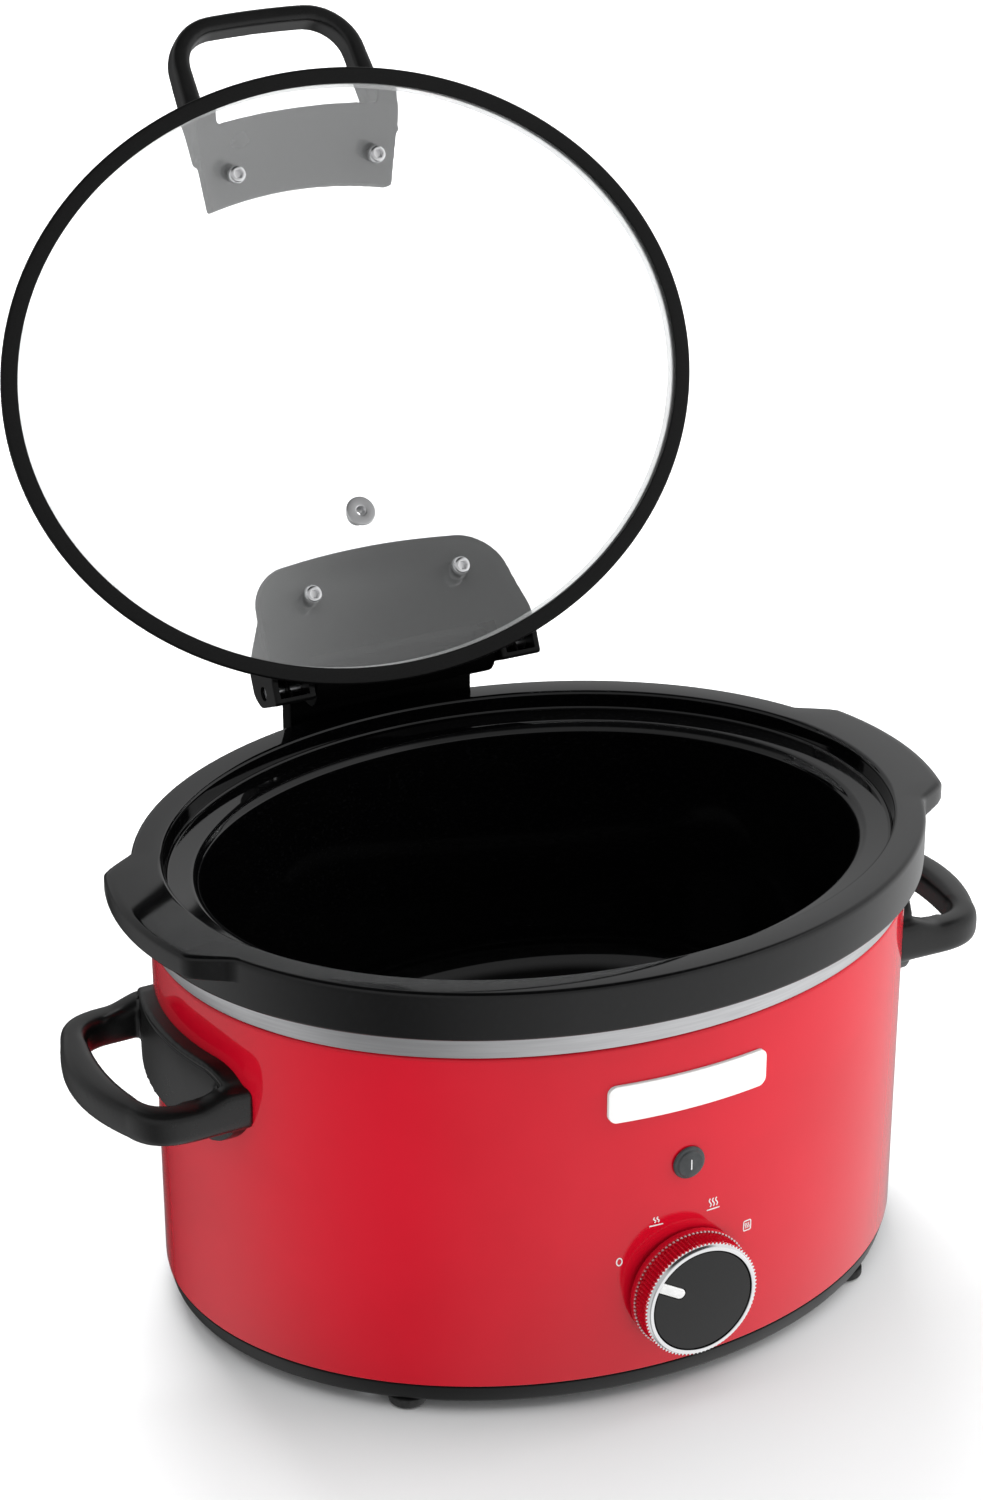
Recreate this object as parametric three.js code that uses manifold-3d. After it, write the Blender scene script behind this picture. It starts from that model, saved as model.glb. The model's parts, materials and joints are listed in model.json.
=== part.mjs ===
// Slow cooker with a hinged glass lid, as an assembly of separate pieces.
// Units are millimetres. +Z is up, +X is the cooker's own right as seen from the front, -Y is the front.
// The model is laid out round the pot's vertical axis, with Z = 0 on the worktop, and the whole group is
// then moved along Y so that its origin lies under the middle of its bounding box.
import * as THREE from "three";
import { mergeVertices } from "three/addons/utils/BufferGeometryUtils.js";
import Module from "manifold-3d";

const wasm = await Module();
wasm.setup();

// ---------------------------------------------------------------- driving dimensions
const OVAL = 25.6; // half-width minus half-depth, the same for every oval of the body
const CORE = 100; // ovals with a smaller half-width keep one proportion down to the axis
const SEGMENTS = 40;
const GAP = 0.35; // clearance between pieces that touch

const FOOT_TOP = 4;
const WALL_BOTTOM = 12.1;
const WALL_TOP = 146.7;
const RIM_TOP = 175.3;
const SKIRT_BOTTOM = 157;

const WALL_FOOT_A = 143.7; // half-width of the painted wall at its bottom edge
const WALL_HEAD_A = 144.8; // and at its top edge
const SHEET = 1.5;
const RIM_A = 151.2; // half-width of the crock's skirt
const RIM_INNER_A = 139.4;

const LID_A = 143.9;
const LID_RING_WIDTH = 6.5;
const LID_RING_HEIGHT = 5;
const LID_REST_Z = 176; // underside of the closed lid's ring
const DOME = 29;
const GLASS = 3.5;
const LID_OPEN_DEG = 114.85;
const HINGE_Y = 113.1;
const HINGE_Z = 194.2;
const BARREL_R = 8.6;
const PIN_R = 2.5;

const POST_HALF_WIDTH = 39.5;
const POST_FRONT_Y = 128;
const POST_BACK_Y = 136;
const SOCKET_TOP = 150;
const SOCKET_BOTTOM = 92;

const KNOB_Z = 44.2;
const KNOB_R = 22.8;
const KNOB_FACE_Y = -131.7;
const LENS_Z = 94.7;
const BADGE_Z = 124.7;
const HANDLE_Z = 110.8;
const HANDLE_REACH = 184;
const HANDLE_HALF_WIDTH = 45;

// ---------------------------------------------------------------- materials
function material(color, roughness, metalness = 0, opacity = 1) {
  const transparent = opacity < 1;
  return new THREE.MeshStandardMaterial({ color, roughness, metalness, opacity, transparent });
}
const PAINT = material(0xc8202f, 0.2);
const BLACK_PLASTIC = material(0x232323, 0.5);
const BASE_PLASTIC = material(0x1f1f1f, 0.55);
const GLAZE = material(0x161616, 0.12);
const ALUMINIUM = material(0xb8babb, 0.4, 1);
const STEEL = material(0x9a9c9e, 0.35, 1);
const CHROME = material(0xd8dadc, 0.12, 1);
const CLEAR_GLASS = material(0xeef3f2, 0.05, 0, 0.25);
const LENS_PLASTIC = material(0x565a5c, 0.15);
const WHITE = material(0xf2f2f2, 0.5);
const BADGE_ENAMEL = material(0xf0f0ee, 0.35);
const RUBBER = material(0x181818, 0.85);
const FELT = material(0xd9d3c4, 0.95);
const MICA = material(0x9d8a63, 0.7);
const NYLON = material(0xdedbd0, 0.6);
const BLUE_WIRE = material(0x2b5fa8, 0.5);
const BROWN_WIRE = material(0x6b4327, 0.5);

// ---------------------------------------------------------------- solids
// A three.js geometry becomes a solid once its shared corners are merged.
function solid(geometry) {
  const bare = geometry.clone();
  bare.deleteAttribute("normal");
  bare.deleteAttribute("uv");
  const merged = mergeVertices(bare, 1e-4);
  const corners = merged.index.array;
  const triangles = [];
  for (let i = 0; i < corners.length; i += 3) {
    const [a, b, c] = [corners[i], corners[i + 1], corners[i + 2]];
    if (a !== b && b !== c && c !== a) triangles.push(a, b, c);
  }
  const mesh = new wasm.Mesh({
    numProp: 3,
    vertProperties: new Float32Array(merged.attributes.position.array),
    triVerts: new Uint32Array(triangles),
  });
  return new wasm.Manifold(mesh);
}

function geometryOf(body) {
  const mesh = body.getMesh();
  const geometry = new THREE.BufferGeometry();
  geometry.setAttribute("position", new THREE.BufferAttribute(mesh.vertProperties, 3));
  geometry.setIndex(new THREE.BufferAttribute(mesh.triVerts, 1));
  geometry.computeVertexNormals();
  return geometry;
}

function union(first, ...others) {
  return others.reduce((sum, next) => sum.add(next), first);
}

function cut(first, ...others) {
  return others.reduce((rest, next) => rest.subtract(next), first);
}

function part(parent, name, body, look, position = [0, 0, 0]) {
  const mesh = new THREE.Mesh(geometryOf(body), look);
  mesh.name = name;
  mesh.position.set(...position);
  parent.add(mesh);
  return mesh;
}

// Half-depth factor that turns a circle of half-width a into the body's oval.
function depthOver(a) {
  return 1 - OVAL / Math.max(a, CORE);
}

// A closed or axis-to-axis profile of [half-width, z] points turned into an oval solid.
function ovalLathe(profile, segments = SEGMENTS) {
  const points = profile.map(([a, z]) => new THREE.Vector2(a, z));
  const geometry = new THREE.LatheGeometry(points, segments);
  geometry.rotateX(Math.PI / 2);
  const place = geometry.attributes.position;
  for (let i = 0; i < place.count; i++) {
    const a = Math.hypot(place.getX(i), place.getY(i));
    place.setY(i, place.getY(i) * depthOver(a));
  }
  return solid(geometry);
}

function roundLathe(profile, segments = 24) {
  const points = profile.map(([r, z]) => new THREE.Vector2(r, z));
  return solid(new THREE.LatheGeometry(points, segments).rotateX(Math.PI / 2));
}

function box(x, y, z) {
  const size = [x[1] - x[0], y[1] - y[0], z[1] - z[0]];
  const middle = [(x[0] + x[1]) / 2, (y[0] + y[1]) / 2, (z[0] + z[1]) / 2];
  return solid(new THREE.BoxGeometry(...size).translate(...middle));
}

// Cylinders along each axis, from one end to the other.
function cylinderZ(r, low, high, segments = 20, x = 0, y = 0) {
  const geometry = new THREE.CylinderGeometry(r, r, high - low, segments).rotateX(Math.PI / 2);
  return solid(geometry.translate(x, y, (low + high) / 2));
}

function cylinderY(r, low, high, segments = 20, x = 0, z = 0) {
  const geometry = new THREE.CylinderGeometry(r, r, high - low, segments);
  return solid(geometry.translate(x, (low + high) / 2, z));
}

function cylinderX(r, low, high, segments = 20, y = 0, z = 0) {
  const geometry = new THREE.CylinderGeometry(r, r, high - low, segments).rotateZ(Math.PI / 2);
  return solid(geometry.translate((low + high) / 2, y, z));
}

// A rounded rectangle in the plane of two axes, for extruding.
function roundedRect(halfWidth, low, high, radius) {
  const shape = new THREE.Shape();
  shape.moveTo(-halfWidth + radius, low);
  shape.lineTo(halfWidth - radius, low);
  shape.absarc(halfWidth - radius, low + radius, radius, -Math.PI / 2, 0);
  shape.lineTo(halfWidth, high - radius);
  shape.absarc(halfWidth - radius, high - radius, radius, 0, Math.PI / 2);
  shape.lineTo(-halfWidth + radius, high);
  shape.absarc(-halfWidth + radius, high - radius, radius, Math.PI / 2, Math.PI);
  shape.lineTo(-halfWidth, low + radius);
  shape.absarc(-halfWidth + radius, low + radius, radius, Math.PI, Math.PI * 1.5);
  return shape;
}

function extrude(shape, depth, curveSegments = 5) {
  return new THREE.ExtrudeGeometry(shape, { depth, bevelEnabled: false, curveSegments });
}

// The shell between two ovals of the body, for pieces that follow its wall.
function ovalShell(innerA, outerA, low, high) {
  const profile = [[innerA, low], [outerA, low], [outerA, high], [innerA, high], [innerA, low]];
  return ovalLathe(profile);
}

// Half-width of the painted wall at a height, and the wall's place on an oval at a given x.
function wallA(z) {
  const share = (z - WALL_BOTTOM) / (WALL_TOP - WALL_BOTTOM);
  return WALL_FOOT_A + share * (WALL_HEAD_A - WALL_FOOT_A);
}
function depthAt(a, x) {
  return (a - OVAL) * Math.sqrt(1 - (x / a) ** 2);
}

// ---------------------------------------------------------------- body of the cooker
function arcPoints(centreA, centreZ, radius, from, to, steps) {
  const points = [];
  for (let i = 0; i <= steps; i++) {
    const angle = THREE.MathUtils.degToRad(from + ((to - from) * i) / steps);
    points.push([centreA + radius * Math.cos(angle), centreZ + radius * Math.sin(angle)]);
  }
  return points;
}

const SCREW_HOLE_R = 2.3;
const HEAD_CLEARANCE = 0.5; // between the wall's inside and the heads of the screws behind it
const HANDLE_SCREW_Y = 28;
const HANDLE_SCREW_Z = 108;
const SOCKET_SCREW_X = 30;
const SOCKET_SCREW_Z = 118;
const GLAND_X = 62;
const GLAND_Z = 32;
const SHAFT_HOLE_R = 5.4;
const LENS_HOLE_R = 5.2;

function housing() {
  const wrap = ovalLathe([
    [WALL_FOOT_A - SHEET, WALL_BOTTOM],
    [WALL_FOOT_A, WALL_BOTTOM],
    [WALL_HEAD_A, WALL_TOP - 1.5],
    [WALL_HEAD_A - 0.5, WALL_TOP],
    [WALL_HEAD_A - 4.2, WALL_TOP],
    [WALL_HEAD_A - 4.2, WALL_TOP - SHEET],
    [WALL_HEAD_A - SHEET, WALL_TOP - SHEET - 0.6],
    [WALL_FOOT_A - SHEET, WALL_BOTTOM],
  ]);
  const frontHoles = [
    cylinderY(SHAFT_HOLE_R, -130, -100, 20, 0, KNOB_Z),
    cylinderY(LENS_HOLE_R, -130, -100, 20, 0, LENS_Z),
  ];
  const rearHoles = [-1, 1].map((s) =>
    cylinderY(SCREW_HOLE_R, 90, 130, 12, s * SOCKET_SCREW_X, SOCKET_SCREW_Z),
  );
  const glandHole = cylinderY(6.4, 80, 130, 20, GLAND_X, GLAND_Z);
  const sideHoles = [-1, 1].map((s) =>
    cylinderX(SCREW_HOLE_R, -160, 160, 12, s * HANDLE_SCREW_Y, HANDLE_SCREW_Z),
  );
  return cut(wrap, ...frontHoles, ...rearHoles, glandHole, ...sideHoles);
}

const FOOT_X = 92;
const FOOT_Y = 80;
const FOOT_R = 7;
const BASE_SCREW_ANGLES = [40, 140, 220, 320];
const BASE_SCREW_A = 132;

function baseTray() {
  const tray = ovalLathe([
    [0, FOOT_TOP],
    [139.8, FOOT_TOP],
    [142.4, FOOT_TOP + 1.2],
    [143.6, WALL_BOTTOM - GAP],
    [141.8, WALL_BOTTOM - GAP],
    [141.8, WALL_BOTTOM + 9],
    [139.6, WALL_BOTTOM + 9],
    [139.6, FOOT_TOP + 3],
    [0, FOOT_TOP + 3],
  ]);
  const footHoles = corners().map(([x, y]) => cylinderZ(3.2, 0, 20, 12, x, y));
  const boltHole = cylinderZ(3.4, 0, 20, 12);
  const screwHoles = BASE_SCREW_ANGLES.map((angle) => {
    const [x, y] = ovalPlace(BASE_SCREW_A, angle);
    return cylinderZ(2.2, 0, 20, 10, x, y);
  });
  return cut(tray, ...footHoles, boltHole, ...screwHoles);
}

function corners() {
  return [
    [-FOOT_X, -FOOT_Y],
    [FOOT_X, -FOOT_Y],
    [-FOOT_X, FOOT_Y],
    [FOOT_X, FOOT_Y],
  ];
}

function ovalPlace(a, degrees) {
  const angle = THREE.MathUtils.degToRad(degrees);
  return [a * Math.cos(angle), (a - OVAL) * Math.sin(angle)];
}

function foot() {
  const plugR = 2.8;
  return roundLathe([
    [0, 0],
    [FOOT_R - 1, 0],
    [FOOT_R, 0.9],
    [FOOT_R, FOOT_TOP - GAP],
    [plugR, FOOT_TOP - GAP],
    [plugR, FOOT_TOP + 6],
    [0, FOOT_TOP + 6],
  ], 12);
}

// A flat-headed screw standing on its head at z = 0, its shank pointing up.
function screw(headR, headHeight, shankR, length) {
  const head = cylinderZ(headR, 0, headHeight, 12);
  const shank = cylinderZ(shankR, headHeight - 0.2, headHeight + length, 10);
  const slotWidth = 1;
  const slot = box([-headR, headR], [-slotWidth / 2, slotWidth / 2], [-1, headHeight * 0.45]);
  return cut(union(head, shank), slot);
}

function screwTab() {
  const tab = cylinderZ(5, FOOT_TOP + 3 + GAP, FOOT_TOP + 13, 12);
  return cut(tab, cylinderZ(1.95, 0, 40, 10));
}

const LINER_SHEET = 1.2;
const LINER_FLOOR = 46;
const LINER_CORNER = 26;
const LINER_WALL_A = 133;
const LINER_HEAD_A = 137.6;

function liner() {
  const flangeTop = SKIRT_BOTTOM - 0.45;
  const flangeFoot = WALL_TOP + GAP;
  const skin = LINER_SHEET;
  const outerCorner = arcPoints(
    LINER_WALL_A - LINER_CORNER, LINER_FLOOR + LINER_CORNER, LINER_CORNER, -90, 0, 3);
  const innerCorner = arcPoints(
    LINER_WALL_A - LINER_CORNER, LINER_FLOOR + LINER_CORNER, LINER_CORNER - skin, 0, -90, 3);
  const vessel = ovalLathe([
    [0, LINER_FLOOR],
    ...outerCorner,
    [LINER_HEAD_A, WALL_TOP - 6],
    [LINER_HEAD_A + 0.4, flangeTop - 3],
    [LINER_HEAD_A + 1.6, flangeTop - skin],
    [142.6, flangeTop - skin],
    [143.5, flangeTop - 2.8],
    [143.7, flangeFoot],
    [144.9, flangeFoot],
    [145, flangeFoot + 3.4],
    [144.5, flangeTop - 1.8],
    [143, flangeTop],
    [138.2, flangeTop],
    [LINER_HEAD_A - 0.9, flangeTop - 2],
    [LINER_HEAD_A - skin, WALL_TOP - 6],
    ...innerCorner,
    [0, LINER_FLOOR + skin],
  ]);
  return cut(vessel, cylinderZ(3.4, 30, 60, 12));
}

const BAND_LOW = 73;
const BAND_HIGH = 89;

function linerOuterA(z) {
  const low = LINER_FLOOR + LINER_CORNER;
  const share = (z - low) / (WALL_TOP - 6 - low);
  return LINER_WALL_A + share * (LINER_HEAD_A - LINER_WALL_A);
}

// A strip round the liner that follows its slope.
function slopedBand(low, high, clearance, thickness, segments) {
  const [a, b] = [linerOuterA(low) + clearance, linerOuterA(high) + clearance];
  const profile = [[a, low], [a + thickness, low], [b + thickness, high], [b, high], [a, low]];
  return ovalLathe(profile, segments);
}

const CLAMP_GAP_X = 7;
function heaterBand() {
  const band = slopedBand(BAND_LOW, BAND_HIGH, 0.5, 2.4, SEGMENTS);
  const opening = box([-CLAMP_GAP_X, CLAMP_GAP_X], [80, 130], [60, 130]);
  return cut(band, opening);
}

// The spring that pulls the two ends of the band together, lying in the gap between them.
function heaterClamp() {
  const [z, r] = [(BAND_LOW + BAND_HIGH) / 2, 1.5];
  const y = linerOuterA(z) - OVAL + r + 0.7;
  const end = CLAMP_GAP_X - GAP;
  return cylinderX(r, -end, end, 10, y, z);
}

function insulationBand() {
  return slopedBand(LENS_Z + 5, LENS_Z + 30, 0.6, 1.6, SEGMENTS);
}

function tieBolt() {
  const head = cylinderZ(6, LINER_FLOOR + LINER_SHEET + GAP, LINER_FLOOR + LINER_SHEET + 2, 12);
  const shank = cylinderZ(2.8, 0.6, LINER_FLOOR + LINER_SHEET + 1, 12);
  return union(head, shank);
}

function tieNut() {
  const [low, high] = [1, FOOT_TOP - GAP];
  return cut(cylinderZ(6, low, high, 6), cylinderZ(3.2, low - 1, high + 1, 12));
}

const FUSE_Y = 62;
const FUSE_Z = LINER_FLOOR - 5.4;

function thermalFuse() {
  const [y, z] = [FUSE_Y, FUSE_Z];
  const body = cylinderX(2.6, -9, 9, 12, y, z);
  const leads = cylinderX(0.9, -19, 19, 8, y, z);
  return union(body, leads);
}

function fuseClip() {
  const [y, z] = [FUSE_Y, FUSE_Z];
  const saddle = cut(cylinderX(4.2, -4, 4, 14, y, z), cylinderX(3, -6, 6, 14, y, z));
  const open = box([-6, 6], [y - 5, y + 5], [z - 6, z - 1.6]);
  const tab = box([-4, 4], [y - 4, y + 12], [LINER_FLOOR - GAP - 1.5, LINER_FLOOR - GAP]);
  return union(cut(saddle, open), tab);
}

// ---------------------------------------------------------------- control panel on the front
const SWITCH_FRONT_Y = -109.8;

function switchBody() {
  const depth = 10.5;
  const [back, front] = [SWITCH_FRONT_Y + depth, SWITCH_FRONT_Y];
  const block = box([-14, 14], [front, back], [KNOB_Z - 13, KNOB_Z + 7]);
  const lugs = [-9, 0, 9].map((x) => box([x - 2, x + 2], [back - 1, back + 6], [KNOB_Z - 9, KNOB_Z - 8]));
  const well = cylinderY(3.4, front - 1, back - 4, 16, 0, KNOB_Z);
  return cut(union(block, ...lugs), well);
}

function switchBracket() {
  const [front, back] = [SWITCH_FRONT_Y - 2.2, SWITCH_FRONT_Y - GAP];
  const plate = box([-20, 20], [front, back], [FOOT_TOP + 3 + GAP, KNOB_Z + 14]);
  const foot = box([-20, 20], [back - 2, back + 14], [FOOT_TOP + 3 + GAP, FOOT_TOP + 5]);
  return cut(union(plate, foot), cylinderY(5.6, front - 2, back + 2, 16, 0, KNOB_Z));
}

function switchNut() {
  const thickness = 2;
  const front = -wallA(KNOB_Z) + OVAL + SHEET + GAP;
  const nut = cylinderY(5, front, front + thickness, 6, 0, KNOB_Z);
  return cut(nut, cylinderY(3.5, -130, -100, 16, 0, KNOB_Z));
}

function neonLamp() {
  const y = wallFrontY(LENS_Z) + 6.2;
  const glass = cylinderX(2.3, -6, 6, 12, y, LENS_Z);
  const leads = cylinderX(0.7, -15, 15, 8, y, LENS_Z);
  return union(glass, leads);
}

function wallFrontY(z) {
  return -(wallA(z) - OVAL);
}

function indicatorLens() {
  const wall = wallFrontY(LENS_Z);
  const stemR = 4.8;
  const profile = [
    [3, -(wall + 3.2)],
    [3, -(wall - 0.6)],
    [0, -(wall - 0.8)],
    [0, -(wall - 2.9)],
    [2.6, -(wall - 2.6)],
    [4.8, -(wall - 1.9)],
    [6.3, -(wall - 0.5)],
    [6.3, -(wall - GAP)],
    [stemR, -(wall - GAP)],
    [stemR, -(wall + 3.2)],
    [3, -(wall + 3.2)],
  ];
  const points = profile.map(([r, depth]) => new THREE.Vector2(r, depth));
  const lathe = new THREE.LatheGeometry(points.reverse(), 24).rotateX(Math.PI);
  return solid(lathe.translate(0, 0, LENS_Z));
}

function lensClip() {
  const wall = wallFrontY(LENS_Z) + SHEET + 2 * GAP;
  const washer = cylinderY(8, wall, wall + 1, 16, 0, LENS_Z);
  return cut(washer, cylinderY(5.1, -130, -100, 20, 0, LENS_Z));
}

const BADGE_HALF_WIDTH = 31.6;
const BADGE_HALF_HEIGHT = 7.2;

// A plate that follows the front wall, cut out of a thin oval shell.
function badgePlate() {
  const a = wallA(BADGE_Z);
  const thickness = 1.2;
  const shell = ovalShell(a + GAP, a + GAP + thickness, BADGE_Z - 12, BADGE_Z + 12);
  const outline = roundedRect(
    BADGE_HALF_WIDTH, BADGE_Z - BADGE_HALF_HEIGHT, BADGE_Z + BADGE_HALF_HEIGHT, 3);
  const cutter = extrude(outline, 60).rotateX(Math.PI / 2).translate(0, -90, 0);
  return shell.intersect(solid(cutter));
}

// ---------------------------------------------------------------- knob, along -Y from the wall
function knobProfile(points, segments) {
  const list = points.map(([r, y]) => new THREE.Vector2(r, -y));
  return solid(new THREE.LatheGeometry(list, segments).rotateX(Math.PI));
}

const KNOB_BACK_Y = -119.5;
const BEZEL_BACK_Y = -129.3;

function knobSkirt() {
  const socketR = 3.1;
  return knobProfile([
    [socketR, KNOB_BACK_Y],
    [KNOB_R - 0.9, KNOB_BACK_Y],
    [KNOB_R, KNOB_BACK_Y - 1],
    [KNOB_R - 0.5, BEZEL_BACK_Y + GAP],
    [socketR, BEZEL_BACK_Y + GAP],
    [socketR, KNOB_BACK_Y],
  ], 32);
}

const FACE_SEAT_R = 20;
const FACE_FRONT_Y = KNOB_FACE_Y + 1.1;
const POINTER_HALF = 1.9;
const POINTER_FOOT = 8.9; // from the knob's axis to the pointer's inner end

function knobBezel() {
  const bevel = 1.2;
  return knobProfile([
    [FACE_SEAT_R, BEZEL_BACK_Y],
    [KNOB_R - 0.2, BEZEL_BACK_Y],
    [KNOB_R - 0.2, KNOB_FACE_Y + bevel],
    [KNOB_R - 0.2 - bevel, KNOB_FACE_Y],
    [FACE_SEAT_R + 0.2, KNOB_FACE_Y],
    [FACE_SEAT_R, KNOB_FACE_Y + 0.4],
    [FACE_SEAT_R, BEZEL_BACK_Y],
  ], 32);
}

function knobFace() {
  const discR = FACE_SEAT_R - 0.3;
  const disc = knobProfile([
    [0, BEZEL_BACK_Y],
    [discR, BEZEL_BACK_Y],
    [discR, FACE_FRONT_Y],
    [0, FACE_FRONT_Y],
  ], 32);
  const side = POINTER_HALF + 0.3;
  const grooveFloor = FACE_FRONT_Y + 0.8;
  return cut(disc, box([-side, side], [KNOB_FACE_Y - 2, grooveFloor], [POINTER_FOOT - 0.3, FACE_SEAT_R + 1]));
}

function knobPointer() {
  const top = FACE_SEAT_R - 0.5;
  return box([-POINTER_HALF, POINTER_HALF], [FACE_FRONT_Y - 0.6, FACE_FRONT_Y + 0.5], [POINTER_FOOT, top]);
}

function knobShaft() {
  return cylinderY(2.8, KNOB_BACK_Y - 7, SWITCH_FRONT_Y + 6, 16, 0, 0);
}

// ---------------------------------------------------------------- crock
const CAVITY_A = 125.6;
const CAVITY_FLOOR = 57;
const CROCK_FLOOR = 49.5;
const LEDGE_Z = 167;
const EAR_A = 161;
const EAR_THICK = 9;

function crock() {
  const outerA = 134.2;
  const footA = 129.2;
  const outerCorner = arcPoints(footA - 24, CROCK_FLOOR + 24, 24, -90, 0, 3);
  const innerCorner = arcPoints(CAVITY_A - 5 - 26, CAVITY_FLOOR + 26, 26, 0, -90, 3);
  const pot = ovalLathe([
    [0, CROCK_FLOOR],
    ...outerCorner,
    [outerA, WALL_TOP - 4],
    [outerA, SKIRT_BOTTOM],
    [RIM_A - 1, SKIRT_BOTTOM],
    [RIM_A, SKIRT_BOTTOM + 1],
    [RIM_A, RIM_TOP - 1.6],
    [RIM_A - 1.3, RIM_TOP],
    [RIM_INNER_A, RIM_TOP],
    [RIM_INNER_A - 2.2, LEDGE_Z + 1.2],
    [RIM_INNER_A - 3.6, LEDGE_Z],
    [CAVITY_A + 2.6, LEDGE_Z],
    [CAVITY_A + 0.6, LEDGE_Z - 1],
    [CAVITY_A, LEDGE_Z - 3.4],
    ...innerCorner,
    [0, CAVITY_FLOOR],
  ]);
  return union(pot, crockEar(1), crockEar(-1));
}

// A lug on the rim at one end, with slanted sides between its corners and the rim.
function crockEar(side) {
  const slab = ovalShell(RIM_A - 6, EAR_A, RIM_TOP - EAR_THICK, RIM_TOP);
  const wedge = new THREE.Shape();
  wedge.moveTo(100, -60);
  wedge.lineTo(134, -49.8);
  wedge.lineTo(154.9, -37.3);
  wedge.lineTo(180, -37.3);
  wedge.lineTo(180, 37.3);
  wedge.lineTo(154.9, 37.3);
  wedge.lineTo(134, 49.8);
  wedge.lineTo(100, 60);
  const prism = extrude(wedge, 40).translate(0, 0, RIM_TOP - 30);
  if (side < 0) prism.rotateZ(Math.PI);
  return slab.intersect(solid(prism));
}

// ---------------------------------------------------------------- side handles
// Outline of the loop seen from above: straight legs, rounded corners and a bowed bar.
function loopOutline(legEnd, half, cornerX, shoulder, reach) {
  const bow = 2 * reach - shoulder[0];
  const outline = new THREE.Shape();
  outline.moveTo(120, -half);
  outline.lineTo(legEnd, -half);
  outline.quadraticCurveTo(cornerX, -half, shoulder[0], -shoulder[1]);
  outline.quadraticCurveTo(bow, 0, shoulder[0], shoulder[1]);
  outline.quadraticCurveTo(cornerX, half, legEnd, half);
  outline.lineTo(120, half);
  return outline;
}

function sideHandle() {
  const padThick = 5;
  const thick = 13;
  const legWidth = 11.5;
  const half = HANDLE_HALF_WIDTH;
  const low = HANDLE_Z - thick / 2;
  const outside = loopOutline(157, half, 172, [176.5, 31], HANDLE_REACH);
  const inside = loopOutline(157, half - legWidth, 167, [168.5, 22], 170);
  const frame = solid(extrude(outside, thick, 6).translate(0, 0, low));
  const opening = solid(extrude(inside, thick + 2, 6).translate(0, 0, low - 1));
  const a = wallA(HANDLE_Z) + GAP + 0.3;
  const clearOfWall = ovalLathe([[0, 60], [a, 60], [a, 150], [0, 150]]);
  const padShell = ovalShell(a, a + padThick, 80, 140);
  const padOutline = roundedRect(43, 96, 127.5, 14.5);
  const padCutter = extrude(padOutline, 120).rotateX(Math.PI / 2).rotateZ(Math.PI / 2);
  const pad = padShell.intersect(solid(padCutter.translate(90, 0, 0)));
  const screws = [-HANDLE_SCREW_Y, HANDLE_SCREW_Y];
  const bores = screws.map((y) => cylinderX(1.9, 100, 146, 10, y, HANDLE_SCREW_Z));
  const bosses = screws.map((y) => cylinderX(5, 138, 149, 12, y, HANDLE_SCREW_Z));
  const loop = cut(union(cut(frame, opening), ...bosses), clearOfWall);
  return cut(union(loop, pad), ...bores);
}

// A screw lying along +X, its head at the inner end.
function sideScrew() {
  const headR = 3.8;
  const inner = wallX(HANDLE_SCREW_Y + headR) - SHEET - HEAD_CLEARANCE;
  const head = cylinderX(headR, inner - 2.4, inner, 12);
  const shank = cylinderX(1.5, inner - 0.5, inner + 8.5, 10);
  return union(head, shank);
}

// The wall's x at a given y, at the height of the handle screws.
function wallX(y) {
  const a = wallA(HANDLE_SCREW_Z);
  return a * Math.sqrt(1 - (y / (a - OVAL)) ** 2);
}

// ---------------------------------------------------------------- hinge post and its socket
const SOCKET_HALF_WIDTH = 48;
const TONGUE_BOTTOM = 97;

function postSocket() {
  const a = wallA(SOCKET_SCREW_Z) + 0.9;
  const back = POST_BACK_Y + 4.5;
  const outline = roundedRect(SOCKET_HALF_WIDTH, 90, back, 6);
  const height = SOCKET_TOP - SOCKET_BOTTOM;
  const block = solid(extrude(outline, height).translate(0, 0, SOCKET_BOTTOM));
  const wall = ovalLathe([[0, 60], [a, 60], [a, 160], [0, 160]]);
  const slot = box(
    [-POST_HALF_WIDTH - GAP, POST_HALF_WIDTH + GAP],
    [POST_FRONT_Y - GAP, POST_BACK_Y + GAP],
    [TONGUE_BOTTOM - 1, 200],
  );
  const bores = [-1, 1].map((s) => cylinderY(1.9, 100, 125, 10, s * SOCKET_SCREW_X, SOCKET_SCREW_Z));
  return cut(block, wall, slot, ...bores);
}

// A screw lying along +Y, its head at the inner end.
function socketScrew() {
  const headR = 3.8;
  const inner = depthAt(wallA(SOCKET_SCREW_Z), SOCKET_SCREW_X + headR) - SHEET - HEAD_CLEARANCE;
  const head = cylinderY(headR, inner - 2.4, inner, 12);
  const shank = cylinderY(1.5, inner - 0.5, inner + 7.5, 10);
  return union(head, shank);
}

const BARREL_HALF = 38.5;

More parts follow.
